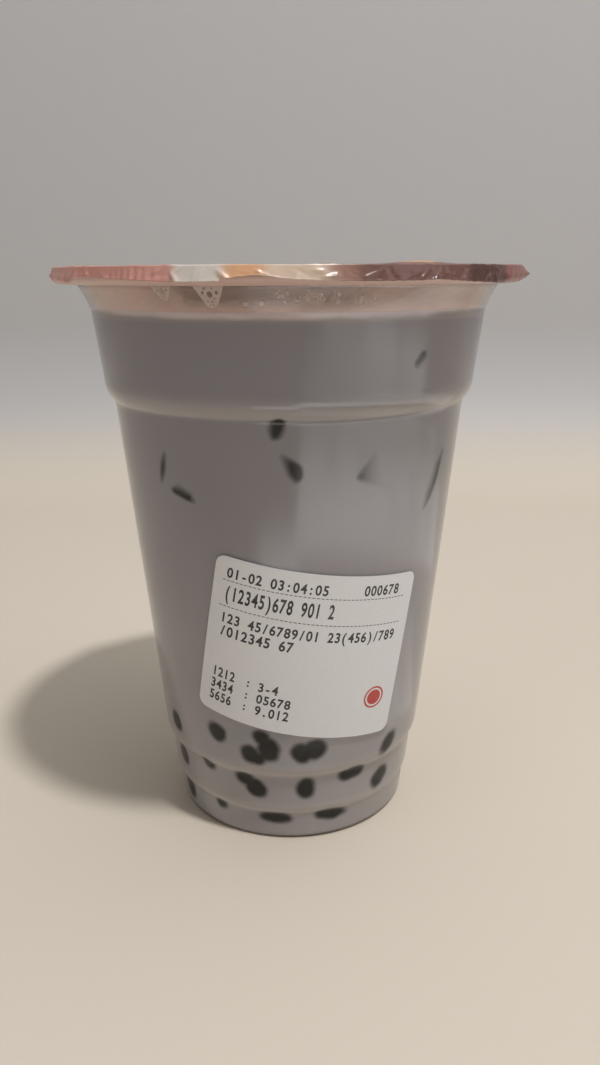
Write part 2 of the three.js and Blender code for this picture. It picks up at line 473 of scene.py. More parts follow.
def taro_milk_tea():
    """Milk tea with taro: an opaque grey mauve that darkens where a pearl nears the wall. Painted shade
    darkens it towards the top and where ice nears the wall, and a painted highlight pales it on each step.
    """
    material, tree = new_material("taro_milk_tea_opaque")
    place = add(tree, "ShaderNodeTexCoord").outputs["Object"]
    swirl = mottle(tree, place, MILK_SWIRL, "#aba6a8", "#b4b0b1", detail=3.0, span=(0.3, 0.7))[1]
    colour = swirl.outputs[0]
    height = add(tree, "ShaderNodeSeparateXYZ", {0: place}).outputs["Z"]
    # Painted shade: darker and greyer towards the top, for the shade under the rim and film
    top_shade = add(tree, "ShaderNodeMapRange", {0: height, 1: TOP_SHADE_FROM * MM, 2: TOP_SHADE_TO * MM, 4: TOP_SHADE_SHARE})
    cream = add(tree, "ShaderNodeMapRange", {
        0: height, 1: (DRINK_LEVEL - CREAM_DEPTH) * MM, 2: DRINK_LEVEL * MM, 4: CREAM_SHARE},
        interpolation_type="SMOOTHSTEP")
    layers = [(top_shade, "#8d8b95"), (cream, "#e2c0bd")]
    # Painted highlight: a pale band on the drink at each step of the wall
    for _, crease, _, top in (LOWER_STEP, UPPER_STEP, SHOULDER):
        rise = add(tree, "ShaderNodeMapRange", {
            0: height, 1: (crease + PALE_START) * MM, 2: (crease + PALE_FULL) * MM, 4: STEP_HIGHLIGHT},
            interpolation_type="SMOOTHSTEP")
        fall = add(tree, "ShaderNodeMapRange", {
            0: height, 1: (crease + PALE_FALL) * MM, 2: (top + PALE_END) * MM, 3: 1.0, 4: 0.0},
            interpolation_type="SMOOTHSTEP")
        layers.append((add(tree, "ShaderNodeMath", {0: rise, 1: fall}, operation="MULTIPLY"), "#d8d3cc"))
    # Near ice the darkening is painted shade; near a pearl it is the pearl's own colour
    for name, fade, dark in SUNK_COLOUR_AND_SHADE:
        gap = add(tree, "ShaderNodeAttribute", attribute_name=name).outputs["Fac"]
        near = add(tree, "ShaderNodeMapRange", {
            0: gap, 1: SUNK_SKIN * MM, 2: (SUNK_SKIN + fade) * MM, 3: 1.0, 4: 0.0},
            interpolation_type="SMOOTHSTEP")
        layers.append((near, dark))
    for share, over in layers:
        mixed = add(tree, "ShaderNodeMix", {0: share, 6: colour, 7: linear(over)}, data_type="RGBA")
        colour = mixed.outputs[2]
    drink = add(tree, "ShaderNodeBsdfPrincipled", {
        "Base Color": colour, "Roughness": 0.5, "Specular IOR Level": 0.0})
    add(tree, "ShaderNodeOutputMaterial", {"Surface": drink})
    return material


# Width of a bubble, coarser than most real ones so that it shows
BUBBLE = 0.9
# Heights about the foam line between which the froth turns from the drink's grey to its own colour
FOAM_FROM = -0.7
FOAM_TO = 0.6


def milk_froth():
    """Fine milk froth: pale and matt, dappled by tiny bubbles, and greyer where it meets the drink."""
    material, tree = new_material("milk_froth_matt")
    place = add(tree, "ShaderNodeTexCoord").outputs["Object"]
    bubbles = add(tree, "ShaderNodeTexVoronoi", {"Vector": place, "Scale": 1 / (BUBBLE * MM)})
    dapple = bubbles.outputs["Distance"]
    tone = add(tree, "ShaderNodeValToRGB", {0: dapple})
    tone.color_ramp.elements[0].color = linear("#f2e0e3")
    tone.color_ramp.elements[1].color = linear("#f7e8ea")
    height = add(tree, "ShaderNodeSeparateXYZ", {0: place}).outputs["Z"]
    line = add(tree, "ShaderNodeAttribute", attribute_name="foam_line").outputs["Fac"]
    above = add(tree, "ShaderNodeMath", {0: height, 1: line}, operation="SUBTRACT")
    rise = add(tree, "ShaderNodeMapRange", {0: above, 1: FOAM_FROM * MM, 2: FOAM_TO * MM},
               interpolation_type="SMOOTHSTEP")
    colour = add(tree, "ShaderNodeMix", {0: rise, 6: linear("#a19a9c"), 7: tone.outputs[0]}, data_type="RGBA")
    bump = add(tree, "ShaderNodeBump", {"Strength": 0.4, "Distance": 0.2 * MM, "Height": dapple})
    froth = add(tree, "ShaderNodeBsdfPrincipled", {
        "Base Color": colour.outputs[2], "Roughness": 0.6, "Normal": bump, "Subsurface Weight": 0.5,
        "Subsurface Radius": (1.0, 0.8, 0.7), "Subsurface Scale": 1.2 * MM})
    add(tree, "ShaderNodeOutputMaterial", {"Surface": froth})
    return material


# Share of light that glows through splashed milk
SPLASH_GLOW = 0.15


def milk_splash(name, tint):
    """A thin film of splashed milk on the plastic: it covers as much as its cover value says."""
    material, tree = new_material(name)
    cover = add(tree, "ShaderNodeAttribute", attribute_name="cover").outputs["Fac"]
    milk = add(tree, "ShaderNodeBsdfPrincipled", {
        "Base Color": linear(tint), "Roughness": 0.5, "Specular IOR Level": 0.2})
    glow = add(tree, "ShaderNodeBsdfTranslucent", {"Color": linear(tint)})
    body = add(tree, "ShaderNodeMixShader", {0: SPLASH_GLOW, 1: milk, 2: glow})
    through = add(tree, "ShaderNodeBsdfTransparent")
    both = add(tree, "ShaderNodeMixShader", {0: cover, 1: through, 2: body})
    add(tree, "ShaderNodeOutputMaterial", {"Surface": both})
    return material


# Printed fields of the film by the turn where each begins
FILM_FIELDS = (
    (-180, "#a06f66"), (-150, "#dcae8a"), (-118, "#e4d6ca"), (-96, "#d99c8e"), (-22, "#e6dcd0"),
    (-11.8, "#ecb488"), (-3, "#ead1ba"), (8.8, "#aa8274"), (14.5, "#7e5b52"), (41, "#63453f"),
    (56, "#925a50"), (96, "#e4d6ca"), (116, "#e9b384"), (146, "#d08c7e"),
)
FIELD_BLEND = 1.4
# The fields swirl by this much towards the middle, in radians, and waver in waves of a width in mm
FIELD_SWIRL = 1.6
FIELD_WAVE = 14.0
FIELD_WAVER = 0.05
# Printed dots in a ring on the film
DOT_COUNT = 6
DOT_TURN = 51.0
DOT_RING_RADIUS = 31.9
DOT_RADIUS = 4.0
DOT_EDGE = 0.5
# Share of light that glows through the film over the mouth and over the rim
GLOW_OVER_MOUTH = 0.15
GLOW_OVER_RIM = 0.06
# How far the colour of that light is from the print's towards white
GLOW_PALE = 0.6


def printed_film():
    """Heat-sealed plastic film with printed fields of colour: glossy, and light glows through it."""
    material, tree = new_material("printed_polyethylene_film")
    place = add(tree, "ShaderNodeTexCoord").outputs["Object"]
    axes = add(tree, "ShaderNodeSeparateXYZ", {0: place}).outputs
    back = add(tree, "ShaderNodeMath", {0: axes["Y"], 1: -1.0}, operation="MULTIPLY")
    angle = add(tree, "ShaderNodeMath", {0: axes["X"], 1: back}, operation="ARCTAN2")
    flat = add(tree, "ShaderNodeCombineXYZ", {"X": axes["X"], "Y": axes["Y"]})
    radius = add(tree, "ShaderNodeVectorMath", {0: flat}, operation="LENGTH").outputs["Value"]
    swirl = add(tree, "ShaderNodeMapRange", {0: radius, 1: 0.0, 2: RIM_RADIUS * MM, 3: FIELD_SWIRL, 4: 0.0})
    wave = add(tree, "ShaderNodeTexNoise", {"Vector": place, "Scale": 1 / (FIELD_WAVE * MM), "Detail": 2.0})
    waver = add(tree, "ShaderNodeMapRange", {0: wave, 3: -FIELD_WAVER, 4: FIELD_WAVER})
    swirled = add(tree, "ShaderNodeMath", {0: angle, 1: swirl}, operation="ADD")
    wavered = add(tree, "ShaderNodeMath", {0: swirled, 1: waver}, operation="ADD")
    wrapped = add(tree, "ShaderNodeMath", {0: wavered, 1: math.pi, 2: -math.pi}, operation="WRAP")
    share = add(tree, "ShaderNodeMapRange", {0: wrapped, 1: -math.pi, 2: math.pi})
    fields = add(tree, "ShaderNodeValToRGB", {0: share})
    ramp = fields.color_ramp
    ends = [turn for turn, _ in FILM_FIELDS[1:]] + [180]
    stops = []
    for (turn, colour), following in zip(FILM_FIELDS, ends):
        stops.extend(((turn + FIELD_BLEND, colour), (following - FIELD_BLEND, colour)))
    for i, (turn, colour) in enumerate(stops):
        stop = ramp.elements[i] if i < 2 else ramp.elements.new((turn + 180) / 360)
        stop.position = (turn + 180) / 360
        stop.color = linear(colour)
    sector = math.pi / DOT_COUNT
    from_dot = add(tree, "ShaderNodeMath", {0: angle, 1: math.radians(DOT_TURN)}, operation="SUBTRACT")
    folded = add(tree, "ShaderNodeMath", {0: from_dot, 1: sector, 2: -sector}, operation="WRAP")
    sine = add(tree, "ShaderNodeMath", {0: folded}, operation="SINE")
    cosine = add(tree, "ShaderNodeMath", {0: folded}, operation="COSINE")
    unit = add(tree, "ShaderNodeCombineXYZ", {"X": sine, "Y": cosine})
    spoke = add(tree, "ShaderNodeVectorMath", {0: unit, "Scale": radius}, operation="SCALE")
    centre = (0.0, DOT_RING_RADIUS * MM, 0.0)
    gap = add(tree, "ShaderNodeVectorMath", {0: spoke, 1: centre}, operation="DISTANCE").outputs["Value"]
    in_dot = add(tree, "ShaderNodeMapRange", {
        0: gap, 1: (DOT_RADIUS - DOT_EDGE) * MM, 2: (DOT_RADIUS + DOT_EDGE) * MM, 3: 1.0, 4: 0.0})
    # Whitened hem: worn print with a painted highlight along the torn edge
    worn = add(tree, "ShaderNodeAttribute", attribute_name="worn").outputs["Fac"]
    printed = fields.outputs[0]
    for cover, over in ((in_dot, "#f0b877"), (worn, "#f6e6d4")):
        mixed = add(tree, "ShaderNodeMix", {0: cover, 6: printed, 7: linear(over)}, data_type="RGBA")
        printed = mixed.outputs[2]
    pale = add(tree, "ShaderNodeMix", {0: GLOW_PALE, 6: printed, 7: linear("#ffffff")}, data_type="RGBA")
    film = add(tree, "ShaderNodeBsdfPrincipled", {"Base Color": printed, "Roughness": 0.28, "IOR": 1.5})
    glow = add(tree, "ShaderNodeBsdfTranslucent", {"Color": pale.outputs[2]})
    glowing = add(tree, "ShaderNodeMapRange", {
        0: radius, 1: NECK_TOP_RADIUS * MM, 2: RIM_RADIUS * MM, 3: GLOW_OVER_MOUTH, 4: GLOW_OVER_RIM})
    both = add(tree, "ShaderNodeMixShader", {0: glowing, 1: film, 2: glow})
    add(tree, "ShaderNodeOutputMaterial", {"Surface": both})
    return material


# Width of the paper's fibre and of the paler patches of print, coarser than real ones so that they show
PAPER_FIBRE = 0.5
PRINT_PATCH = 1.5
# Width of the clouds in a pearl and in ice
PEARL_CLOUD = 3.0
ICE_CLOUD = 6.0


def thermal_paper():
    """Coated thermal paper: smooth, almost white, with a faint fibre."""
    material, tree = new_material("thermal_paper_coated")
    place = add(tree, "ShaderNodeTexCoord").outputs["Object"]
    fibre, tone = mottle(tree, place, PAPER_FIBRE, "#e2e0e0", "#ecebeb", detail=3.0)
    bump = add(tree, "ShaderNodeBump", {"Strength": 0.15, "Distance": 0.02 * MM, "Height": fibre})
    paper = add(tree, "ShaderNodeBsdfPrincipled", {"Base Color": tone, "Roughness": 0.6, "Normal": bump})
    add(tree, "ShaderNodeOutputMaterial", {"Surface": paper})
    return material


def printed_ink(name, strong, weak):
    """Thermal print: a flat mark that is a little paler where the head pressed less."""
    material, tree = new_material(name)
    place = add(tree, "ShaderNodeTexCoord").outputs["Object"]
    tone = mottle(tree, place, PRINT_PATCH, strong, weak, span=(0.45, 0.8))[1]
    ink = add(tree, "ShaderNodeBsdfPrincipled", {"Base Color": tone, "Roughness": 0.6})
    add(tree, "ShaderNodeOutputMaterial", {"Surface": ink})
    return material


def tapioca():
    """Cooked tapioca pearl: nearly black brown, smooth and wet."""
    material, tree = new_material("tapioca_cooked")
    place = add(tree, "ShaderNodeTexCoord").outputs["Object"]
    tone = mottle(tree, place, PEARL_CLOUD, "#191614", "#35291f")[1]
    pearl = add(tree, "ShaderNodeBsdfPrincipled", {"Base Color": tone, "Roughness": 0.25, "IOR": 1.4})
    add(tree, "ShaderNodeOutputMaterial", {"Surface": pearl})
    return material


def clear_ice():
    """Clear machine ice, wet and rounded by melting."""
    material, tree = new_material("machine_ice_clear")
    place = add(tree, "ShaderNodeTexCoord").outputs["Object"]
    cloud = add(tree, "ShaderNodeTexNoise", {"Vector": place, "Scale": 1 / (ICE_CLOUD * MM), "Detail": 2.0})
    rough = add(tree, "ShaderNodeMapRange", {0: cloud, 3: 0.05, 4: 0.25})
    ice = add(tree, "ShaderNodeBsdfPrincipled", {
        "Base Color": linear("#e6ecee"), "Roughness": rough, "IOR": 1.31, "Transmission Weight": 1.0})
    add(tree, "ShaderNodeOutputMaterial", {"Surface": ice})
    return material


# Cup

RIM_FROM = NECK_TOP_RADIUS + 0.1


def make_cup(finish, rim_finish):
    """One formed sheet: up the outside, out under the rim, round its rolled edge and back down the inside."""
    rim_edge = CUP_HEIGHT - RIM_DROP
    lip = NECK_TOP_RADIUS - SHEET
    outside = bowl_outline(0, 0, NECK_BEND_HEIGHT, CUP_SPACING)
    climb_neck(outside, 0)
    outside.line(NECK_TOP_RADIUS, CUP_HEIGHT - SHEET)
    outside.line(RIM_RADIUS - SHEET, CUP_HEIGHT - SHEET)
    outside.curve((RIM_RADIUS - SHEET, rim_edge + SHEET), RIM_TUCK, rim_edge + SHEET)
    outside.line(RIM_TUCK, rim_edge)
    climb_rim(outside)
    outside.curve((RIM_RADIUS, CUP_HEIGHT), RIM_RADIUS - RIM_ROUND, CUP_HEIGHT)
    inside = bowl_outline(SHEET, FLOOR, NECK_BEND_HEIGHT, CUP_SPACING)
    climb_neck(inside, SHEET)
    inside.line(lip, CUP_HEIGHT - RIM_ROUND)
    inside.curve((lip, CUP_HEIGHT), lip + RIM_ROUND, CUP_HEIGHT)
    cup = turned("cup_wall", outside.points + inside.points[::-1], CUP_SIDES, finish)
    keep_sharp(cup, degrees=60)
    cup.data.materials.append(rim_finish)
    for polygon in cup.data.polygons:
        if polygon.center.xy.length > RIM_FROM * MM:
            polygon.material_index = len(cup.data.materials) - 1
    belongs(cup, "clear_plastic", "cup")


def press_on_wall(piece, inset):
    """Flattens what would stick through the wall against the face that lies inset behind the outside."""
    points = get_points(piece) / MM
    radius = np.hypot(points[:, 0], points[:, 1])
    points[:, :2] *= np.minimum(1, wall_radius(points[:, 2], inset) / radius)[:, None]
    set_points(piece, points * MM)


# Sunk pieces

# Pearls on the wall: turn, height, half width and half height of the mark, lean in degrees, gap to the wall
PEARLS = (
    (-31.2, 26.5, 1.5, 1.9, -22, 0.0), (-8.5, 24.3, 1.75, 2.5, 6, 0.0), (-11.5, 27.0, 1.0, 1.3, -45, 0.1),
    (-16.7, 22.8, 1.3, 1.8, -27, 0.05), (-13.0, 21.8, 1.1, 0.9, 0, 0.2), (4.5, 23.4, 1.5, 2.0, -15, 0.0),
    (9.8, 24.1, 1.9, 2.1, 35, 0.0), (45.9, 21.1, 1.6, 3.2, 40, 0.6), (-58.5, 23.7, 1.7, 2.0, -9, 0.1),
    (27.3, 16.2, 1.5, 2.4, 82, 0.1), (-20.7, 15.7, 1.3, 1.9, -62, 0.15), (-15.4, 13.4, 1.6, 1.9, -55, 0.0),
    (6.4, 13.9, 1.45, 2.3, 8, 0.0), (44.5, 11.8, 1.9, 2.7, 40, 0.45), (-39.1, 17.0, 1.0, 1.4, -55, 0.35),
    (-60.4, 14.1, 1.7, 2.0, -4, 0.1), (-7.3, 5.7, 3.1, 0.85, 2, 0.1), (19.1, 6.0, 3.0, 0.85, 6, 0.05),
    (-60.9, 5.2, 2.0, 2.2, -3, 0.2), (-34.8, 6.6, 1.1, 1.3, -35, 0.75),
)
PEARL_DEPTH = 4.0
PRESSED_SHARE = 0.62
# Half width of a pearl where it presses, as a share of the half width of its mark
PEARL_IN_MARK = 0.78
# Rows of pearls round the back: heights, turns from and to, step, and how far each row up is shifted
PEARL_ROWS = (5.6, 14.2, 24.0)
PEARL_BACK = (80.0, 283.0)
PEARL_TURN_STEP = 19.0
PEARL_ROW_SHIFT = 6.0
# Least and most that is drawn for a pearl at the back, in the same order as above, and how much of that is
# left in the lowest row, where the pearls lie flat
PEARL_LEAST = (-8.0, -1.8, 1.1, 1.2, -70.0, 0.0)
PEARL_MOST = (8.0, 1.8, 2.8, 2.8, 70.0, 0.6)
LOWEST_ROW = np.array((1.0, 0.5, 1.0, 0.5, 0.5, 1.0))


def make_pearls(finish):
    """Soft pearls that press flat on the inside of the wall near the floor, in rows as the front shows."""
    draw = np.random.default_rng(SEED)
    pearls = list(PEARLS)
    for row, height in enumerate(PEARL_ROWS):
        for turn in np.arange(PEARL_BACK[0] + PEARL_ROW_SHIFT * row, PEARL_BACK[1], PEARL_TURN_STEP):
            drawn = draw.uniform(PEARL_LEAST, PEARL_MOST) * (1 if row else LOWEST_ROW)
            pearls.append(drawn + (turn, height, 0, 0, 0, 0))
    turn, height, half_width, half_height, lean, gap = np.array(pearls).T
    middle = PEARL_DEPTH * math.sqrt(1 - PRESSED_SHARE ** 2) + gap
    piece = new_piece("pearls", around(np.radians(turn), wall_radius(height, SHEET) - middle, height))
    whole = PEARL_IN_MARK / PRESSED_SHARE
    size = np.column_stack((whole * half_width, np.full_like(turn, PEARL_DEPTH), whole * half_height))
    store(piece, "half_size", size * MM, "FLOAT_VECTOR")
    store(piece, "facing", np.column_stack((0 * turn, np.radians(lean), np.radians(turn))), "FLOAT_VECTOR")
    run_tree(piece, LUMPS, Subdivisions=4, Unevenness=1.0 * MM, Wave=2.2 * MM, Finish=finish)
    press_on_wall(piece, SHEET)
    belongs(piece, "milk_tea")
    return piece


# Ice blocks: turn and height of the middle, then the corners that reach the wall, each with its turn, height
# and how far it stays off the wall
ICE_BLOCKS = (
    ((-4, 97), ((-2.2, 94.0, 0.0), (-3.4, 93.4, 0.1), (-1.2, 93.6, 0.25), (-3.0, 92.0, 0.0),
                (-3.5, 91.0, 0.12), (-5.2, 92.0, 0.5), (-4.4, 90.6, 0.55), (-1.4, 90.9, 0.6),
                (-0.8, 92.4, 0.55))),
    ((-7, 84), ((-1.8, 87.6, 0.5), (0.2, 86.6, 0.25), (2.0, 85.6, 0.0), (3.4, 84.9, 0.0), (3.6, 83.9, 0.0),
                (2.9, 83.0, 0.15), (1.6, 84.2, 0.1), (0.0, 85.4, 0.7), (1.9, 82.7, 0.7))),
    ((-37, 87), ((-40.6, 86.2, 0.4), (-41.9, 83.8, 0.15), (-42.9, 81.9, 0.22), (-44.0, 79.9, 0.6))),
    ((-27, 85), ((-39.6, 79.3, 0.5), (-37.4, 79.0, 0.2), (-35.1, 78.6, 0.1), (-32.7, 78.1, 0.1),
                 (-30.4, 77.5, 0.45), (-36.0, 81.0, 0.7))),
    ((31, 86), ((21.5, 82.7, 0.25), (22.6, 83.1, 0.25), (26.6, 87.4, 0.6), (32.0, 79.6, 0.65),
                (23.6, 84.6, 0.4))),
    ((51, 82), ((58.6, 85.2, 0.4), (57.0, 82.3, 0.15), (55.7, 79.4, 0.1), (53.0, 76.1, 0.2),
                (49.8, 73.7, 0.5), (53.8, 82.6, 0.6), (50.0, 77.0, 0.6))),
    ((41, 101), ((36.4, 103.4, 0.1), (38.2, 105.0, 0.05))),
    ((118, 84), ((112.0, 89.0, 0.1), (116.0, 86.0, 0.0), (121.0, 83.0, 0.5))),
    ((178, 88), ((171.0, 84.0, 0.0), (174.0, 82.0, 0.1), (180.0, 81.5, 0.4), (176.0, 88.0, 0.6))),
    ((244, 83), ((238.0, 88.0, 0.0), (240.0, 80.0, 0.1), (246.0, 84.0, 0.5))),
)
# The near and the far face of a block: how deep it lies and half its width
ICE_FACES = ((4.5, 6.5), (15.0, 4.875))
ICE_ROUND = 0.1


def ice_block(middle_turn, middle_height, corners):
    """One block: the hull of a tapering cube and the corners that reach the wall, rounded by melting."""
    places = list(corners)
    for depth, half in ICE_FACES:
        for side, rise in ((-1, -1), (1, -1), (1, 1), (-1, 1)):
            height = middle_height + rise * half
            aside = math.degrees(side * half / float(wall_radius(height, SHEET)))
            places.append((middle_turn + aside, height, depth))
    turn, height, off = np.array(places).T
    block = bmesh.new()
    for point in around(np.radians(turn), wall_radius(height, SHEET) - off, height):
        block.verts.new(point)
    hull = bmesh.ops.convex_hull(block, input=block.verts)
    inner = hull["geom_interior"] + hull["geom_unused"]
    loose = {part for part in inner if isinstance(part, bmesh.types.BMVert)}
    bmesh.ops.delete(block, geom=list(loose), context="VERTS")
    bmesh.ops.dissolve_limit(block, angle_limit=math.radians(2), verts=block.verts, edges=block.edges)
    bmesh.ops.bevel(block, geom=block.edges[:], offset=ICE_ROUND * MM, segments=2, profile=0.5,
                    affect="EDGES")
    return block


def make_ice(finish):
    """Ice blocks under the surface of the drink."""
    whole = bmesh.new()
    for middle, corners in ICE_BLOCKS:
        block = ice_block(*middle, corners)
        mesh = bpy.data.meshes.new("block")
        block.to_mesh(mesh)
        block.free()
        whole.from_mesh(mesh)
        bpy.data.meshes.remove(mesh)
    piece = new_piece("ice_blocks", [], finish=finish)
    whole.to_mesh(piece.data)
    whole.free()
    face_outwards(piece)
    belongs(piece, "milk_tea")
    return piece


# Drink and froth

def make_drink(finish, pearls, ice):
    """The drink up to its level, with the gaps to what is sunk in it stored for its finish."""
    outline = bowl_outline(DRINK_INSET, FLOOR - DRINK_INSET, DRINK_LEVEL, DRINK_SPACING)
    outline.spacing = DRINK_TOP_SPACING
    outline.line(0, DRINK_LEVEL)
    drink = turned("milk_tea", outline.points, DRINK_SIDES, finish)
    keep_sharp(drink, degrees=60)
    run_tree(drink, gaps_tree(), Pearls=pearls, Ice=ice)
    belongs(drink, "milk_tea", "drink")


# Where the drink gives way to foam at the wall: turn, height above the drink's level
FOAM_LINE = ((-85, 1.2), (-65, 1.1), (-48, 0.6), (-25, 0.3), (0, 0.2), (20, 0.4), (40, 0.75), (62, 1.2),
             (85, 1.2), (120, 0.5), (160, 0.9), (200, 0.4), (240, 0.8))
FOAM_LINE_WAVER = 0.12
FROTH_RING_WAVER = 0.35
# The froth's side lies this far inside the drink's side at its foot and outside it at the drink's level
FROTH_BELOW = 0.02
FROTH_ABOVE = 0.01
FROTH_OFF_COAT = 0.1


def make_froth(finish):
    """A thin layer on the drink that climbs unevenly into a ring against the wall."""
    outline = Outline(0, FROTH_FOOT, FROTH_SPACING)
    outline.line(collar_radius(FROTH_FOOT) - DRINK_INSET - FROTH_BELOW, FROTH_FOOT)
    outline.spacing = FROTH_EDGE_SPACING
    outline.line(collar_radius(DRINK_LEVEL) - DRINK_INSET + FROTH_ABOVE, DRINK_LEVEL)
    outline.line(collar_radius(NECK_BEND_HEIGHT) - DRINK_INSET, NECK_BEND_HEIGHT)
    radius = float(wall_radius(FROTH_RING_TOP, SHEET + COAT_BACK + FROTH_OFF_COAT))
    outline.line(radius, FROTH_RING_TOP)
    outline.curve((radius - FROTH_RING_WIDTH / 2, FROTH_TOP), radius - FROTH_RING_WIDTH, FROTH_TOP)
    outline.spacing = FROTH_SPACING
    outline.line(0, FROTH_TOP)
    froth = turned("froth_layer", outline.points, FROTH_SIDES, finish)
    keep_sharp(froth, degrees=80)
    points = get_points(froth) / MM
    turn = turns_of(points)
    draw = np.random.default_rng(SEED + 1)
    climb = np.clip((points[:, 2] - FROTH_TOP) / (FROTH_RING_TOP - FROTH_TOP), 0, 1)
    points[:, 2] += climb * FROTH_RING_WAVER * ripple(turn, (5, 9, 17, 31), draw)
    set_points(froth, points * MM)
    lifted = np.interp(np.degrees(turn), *np.array(FOAM_LINE).T, period=360)
    lifted += FOAM_LINE_WAVER * ripple(turn, (13, 22, 37), draw)
    store(froth, "foam_line", (DRINK_LEVEL + lifted) * MM)
    belongs(froth, "froth", "froth")


# Splashes on the neck above the froth

# Stretches of the neck where the coat is thin: turn, half width in degrees, how much thinner
CLEAR_STRETCHES = ((-9.0, 27.0, 0.82), (56.0, 27.0, 0.45), (23.0, 16.0, 0.3), (108.0, 20.0, 0.6),
                   (176.0, 24.0, 0.7), (243.0, 16.0, 0.6))
# Patches where fine foam dried on the coat: turn, height, half width and half height in mm, added cover
FOAM_PATCHES = ((6.3, 114.8, 2.1, 1.0, 0.3), (17.7, 114.4, 1.3, 1.0, 0.1), (11.8, 115.0, 0.9, 1.1, 0.2),
                (21.8, 114.7, 1.2, 0.6, 0.2), (-27.0, 114.6, 1.6, 1.4, 0.2), (108.0, 115.0, 2.4, 1.2, 0.3),
                (176.0, 114.8, 2.0, 1.0, 0.3), (243.0, 115.0, 2.2, 1.1, 0.3))
COAT_COVER = 0.92
# How far the coat's cover strays, in broad and in fine streaks that lean with the height
COAT_BROAD = 0.04
COAT_FINE = 0.05
COAT_LEAN = 0.1
# The coat thickens over this height down to the froth
COAT_RISE = 3.0
COAT_BUILD = 1.1
COAT_FRONT = 0.06
COAT_BACK = 0.1
COAT_SIDES = 480
COAT_SPACING = 0.25


def make_splashes(finish):
    """A thin uneven coat of milk inside the neck."""
    outline = Outline(NECK_BEND_RADIUS - SHEET, NECK_BEND_HEIGHT, COAT_SPACING)
    climb_neck(outline, SHEET)
    outline.line(NECK_TOP_RADIUS - SHEET, CUP_HEIGHT - RIM_ROUND)
    wall = np.array(outline.points)
    closed = np.concatenate((wall - (COAT_FRONT, 0), wall[::-1] - (COAT_BACK, 0), wall[:1] - (COAT_FRONT, 0)))
    splash = turned("neck_splashes", closed, COAT_SIDES, finish)
    points = get_points(splash) / MM
    turn, height = turns_of(points), points[:, 2]
    draw = np.random.default_rng(SEED + 2)
    cover = COAT_COVER + COAT_BROAD * ripple(turn, (7, 12, 19), draw)
    cover += COAT_FINE * ripple(turn + COAT_LEAN * height, (43, 71), draw)
    for middle, half_width, depth in CLEAR_STRETCHES:
        cover -= depth * stretch(turn, middle, half_width)
    for middle, level, half_width, half_height, amount in FOAM_PATCHES:
        right = off_turn(turn, middle) * NECK_TOP_RADIUS / half_width
        cover += amount * np.exp(-(right ** 2 + ((height - level) / half_height) ** 2) ** 2)
    low = np.clip((NECK_BEND_HEIGHT + COAT_RISE - height) / COAT_RISE, 0, 1)
    store(splash, "cover", np.clip(cover + (1 - cover) * low ** COAT_BUILD, 0, 1))
    belongs(splash, "froth")


# Drips of foam under the rim: turn, half width at the rim in mm, height of the tip
DRIPS = ((-17.6, 2.9, 113.3), (-30.0, 2.2, 114.5), (-52.0, 2.0, 115.2), (64.0, 2.4, 114.6),
         (118.0, 3.0, 113.9), (171.0, 2.2, 114.8), (233.0, 2.8, 114.2), (290.0, 2.0, 115.2))
# Open bubbles in the first drip, from its middle at the rim: right, down and radius in mm
DRIP_HOLES = ((0.0, 1.6, 0.55), (-1.25, 1.3, 0.27), (1.3, 1.3, 0.3), (0.75, 2.25, 0.16), (-0.6, 2.75, 0.17),
              (0.15, 2.8, 0.18), (-0.2, 3.3, 0.16), (0.35, 3.35, 0.15), (-0.75, 0.65, 0.2), (0.6, 0.6, 0.16))
DRIP_FALL = 3.9
DRIP_TOP = CUP_HEIGHT - RIM_DROP + 0.3
# Share of a drip's form that is a round tip; the rest narrows like a funnel
DRIP_ROUND = 0.65
DRIP_STEPS = 15
DRIP_FRONT = 0.01
DRIP_SHEET = 0.12
DRIP_PITCH = 0.6
DRIP_COVER = 0.95
HOLE_SIDES = 14
# Triangles whose middle lies within this share of a hole's radius are in the hole
HOLE_SHARE = 0.97


def drip_half_width(share):
    """Half width of a drip as a share of that at the rim, by the share of the way down to its tip."""
    return DRIP_ROUND * np.sqrt(np.maximum(0, 1 - share ** 2)) + (1 - DRIP_ROUND) * (1 - share) ** 2


def drip_sheet(half_width, fall):
    """Flat points and triangles of a drip, right and down from its middle at the rim, with open holes."""
    shares = np.sin(np.linspace(0, math.pi / 2, DRIP_STEPS))
    side = np.column_stack((half_width * drip_half_width(shares), fall * shares))
    chains = [np.concatenate((side, side[-2::-1] * (-1, 1)))]
    turns = np.linspace(0, math.tau, HOLE_SIDES, endpoint=False)
    holes = []
    for right, down, radius in DRIP_HOLES:
        right, down = right * half_width / DRIPS[0][1], down * fall / DRIP_FALL
        holes.append((right, down, radius))
        chains.append(np.column_stack((right + radius * np.cos(turns), down + radius * np.sin(turns))))
    edges, start = [], 0
    for chain in chains:
        edges.extend((start + i, start + (i + 1) % len(chain)) for i in range(len(chain)))
        start += len(chain)
    grid = np.mgrid[-half_width:half_width:DRIP_PITCH, 0:fall:DRIP_PITCH].reshape(2, -1).T
    flat = [Vector(point) for point in np.concatenate(chains + [grid])]
    flat, _, triangles = delaunay_2d_cdt(flat, edges, [], 0, 1e-5)[:3]
    flat = np.array([tuple(point) for point in flat])
    kept = []
    for triangle in triangles:
        right, down = flat[list(triangle)].mean(axis=0)
        inside = abs(right) < half_width * drip_half_width(down / fall)
        if inside and all(math.hypot(right - x, down - y) > HOLE_SHARE * radius for x, y, radius in holes):
            kept.append(triangle)
    used = sorted({i for triangle in kept for i in triangle})
    place = {old: new for new, old in enumerate(used)}
    return flat[used], [tuple(place[i] for i in triangle) for triangle in kept]


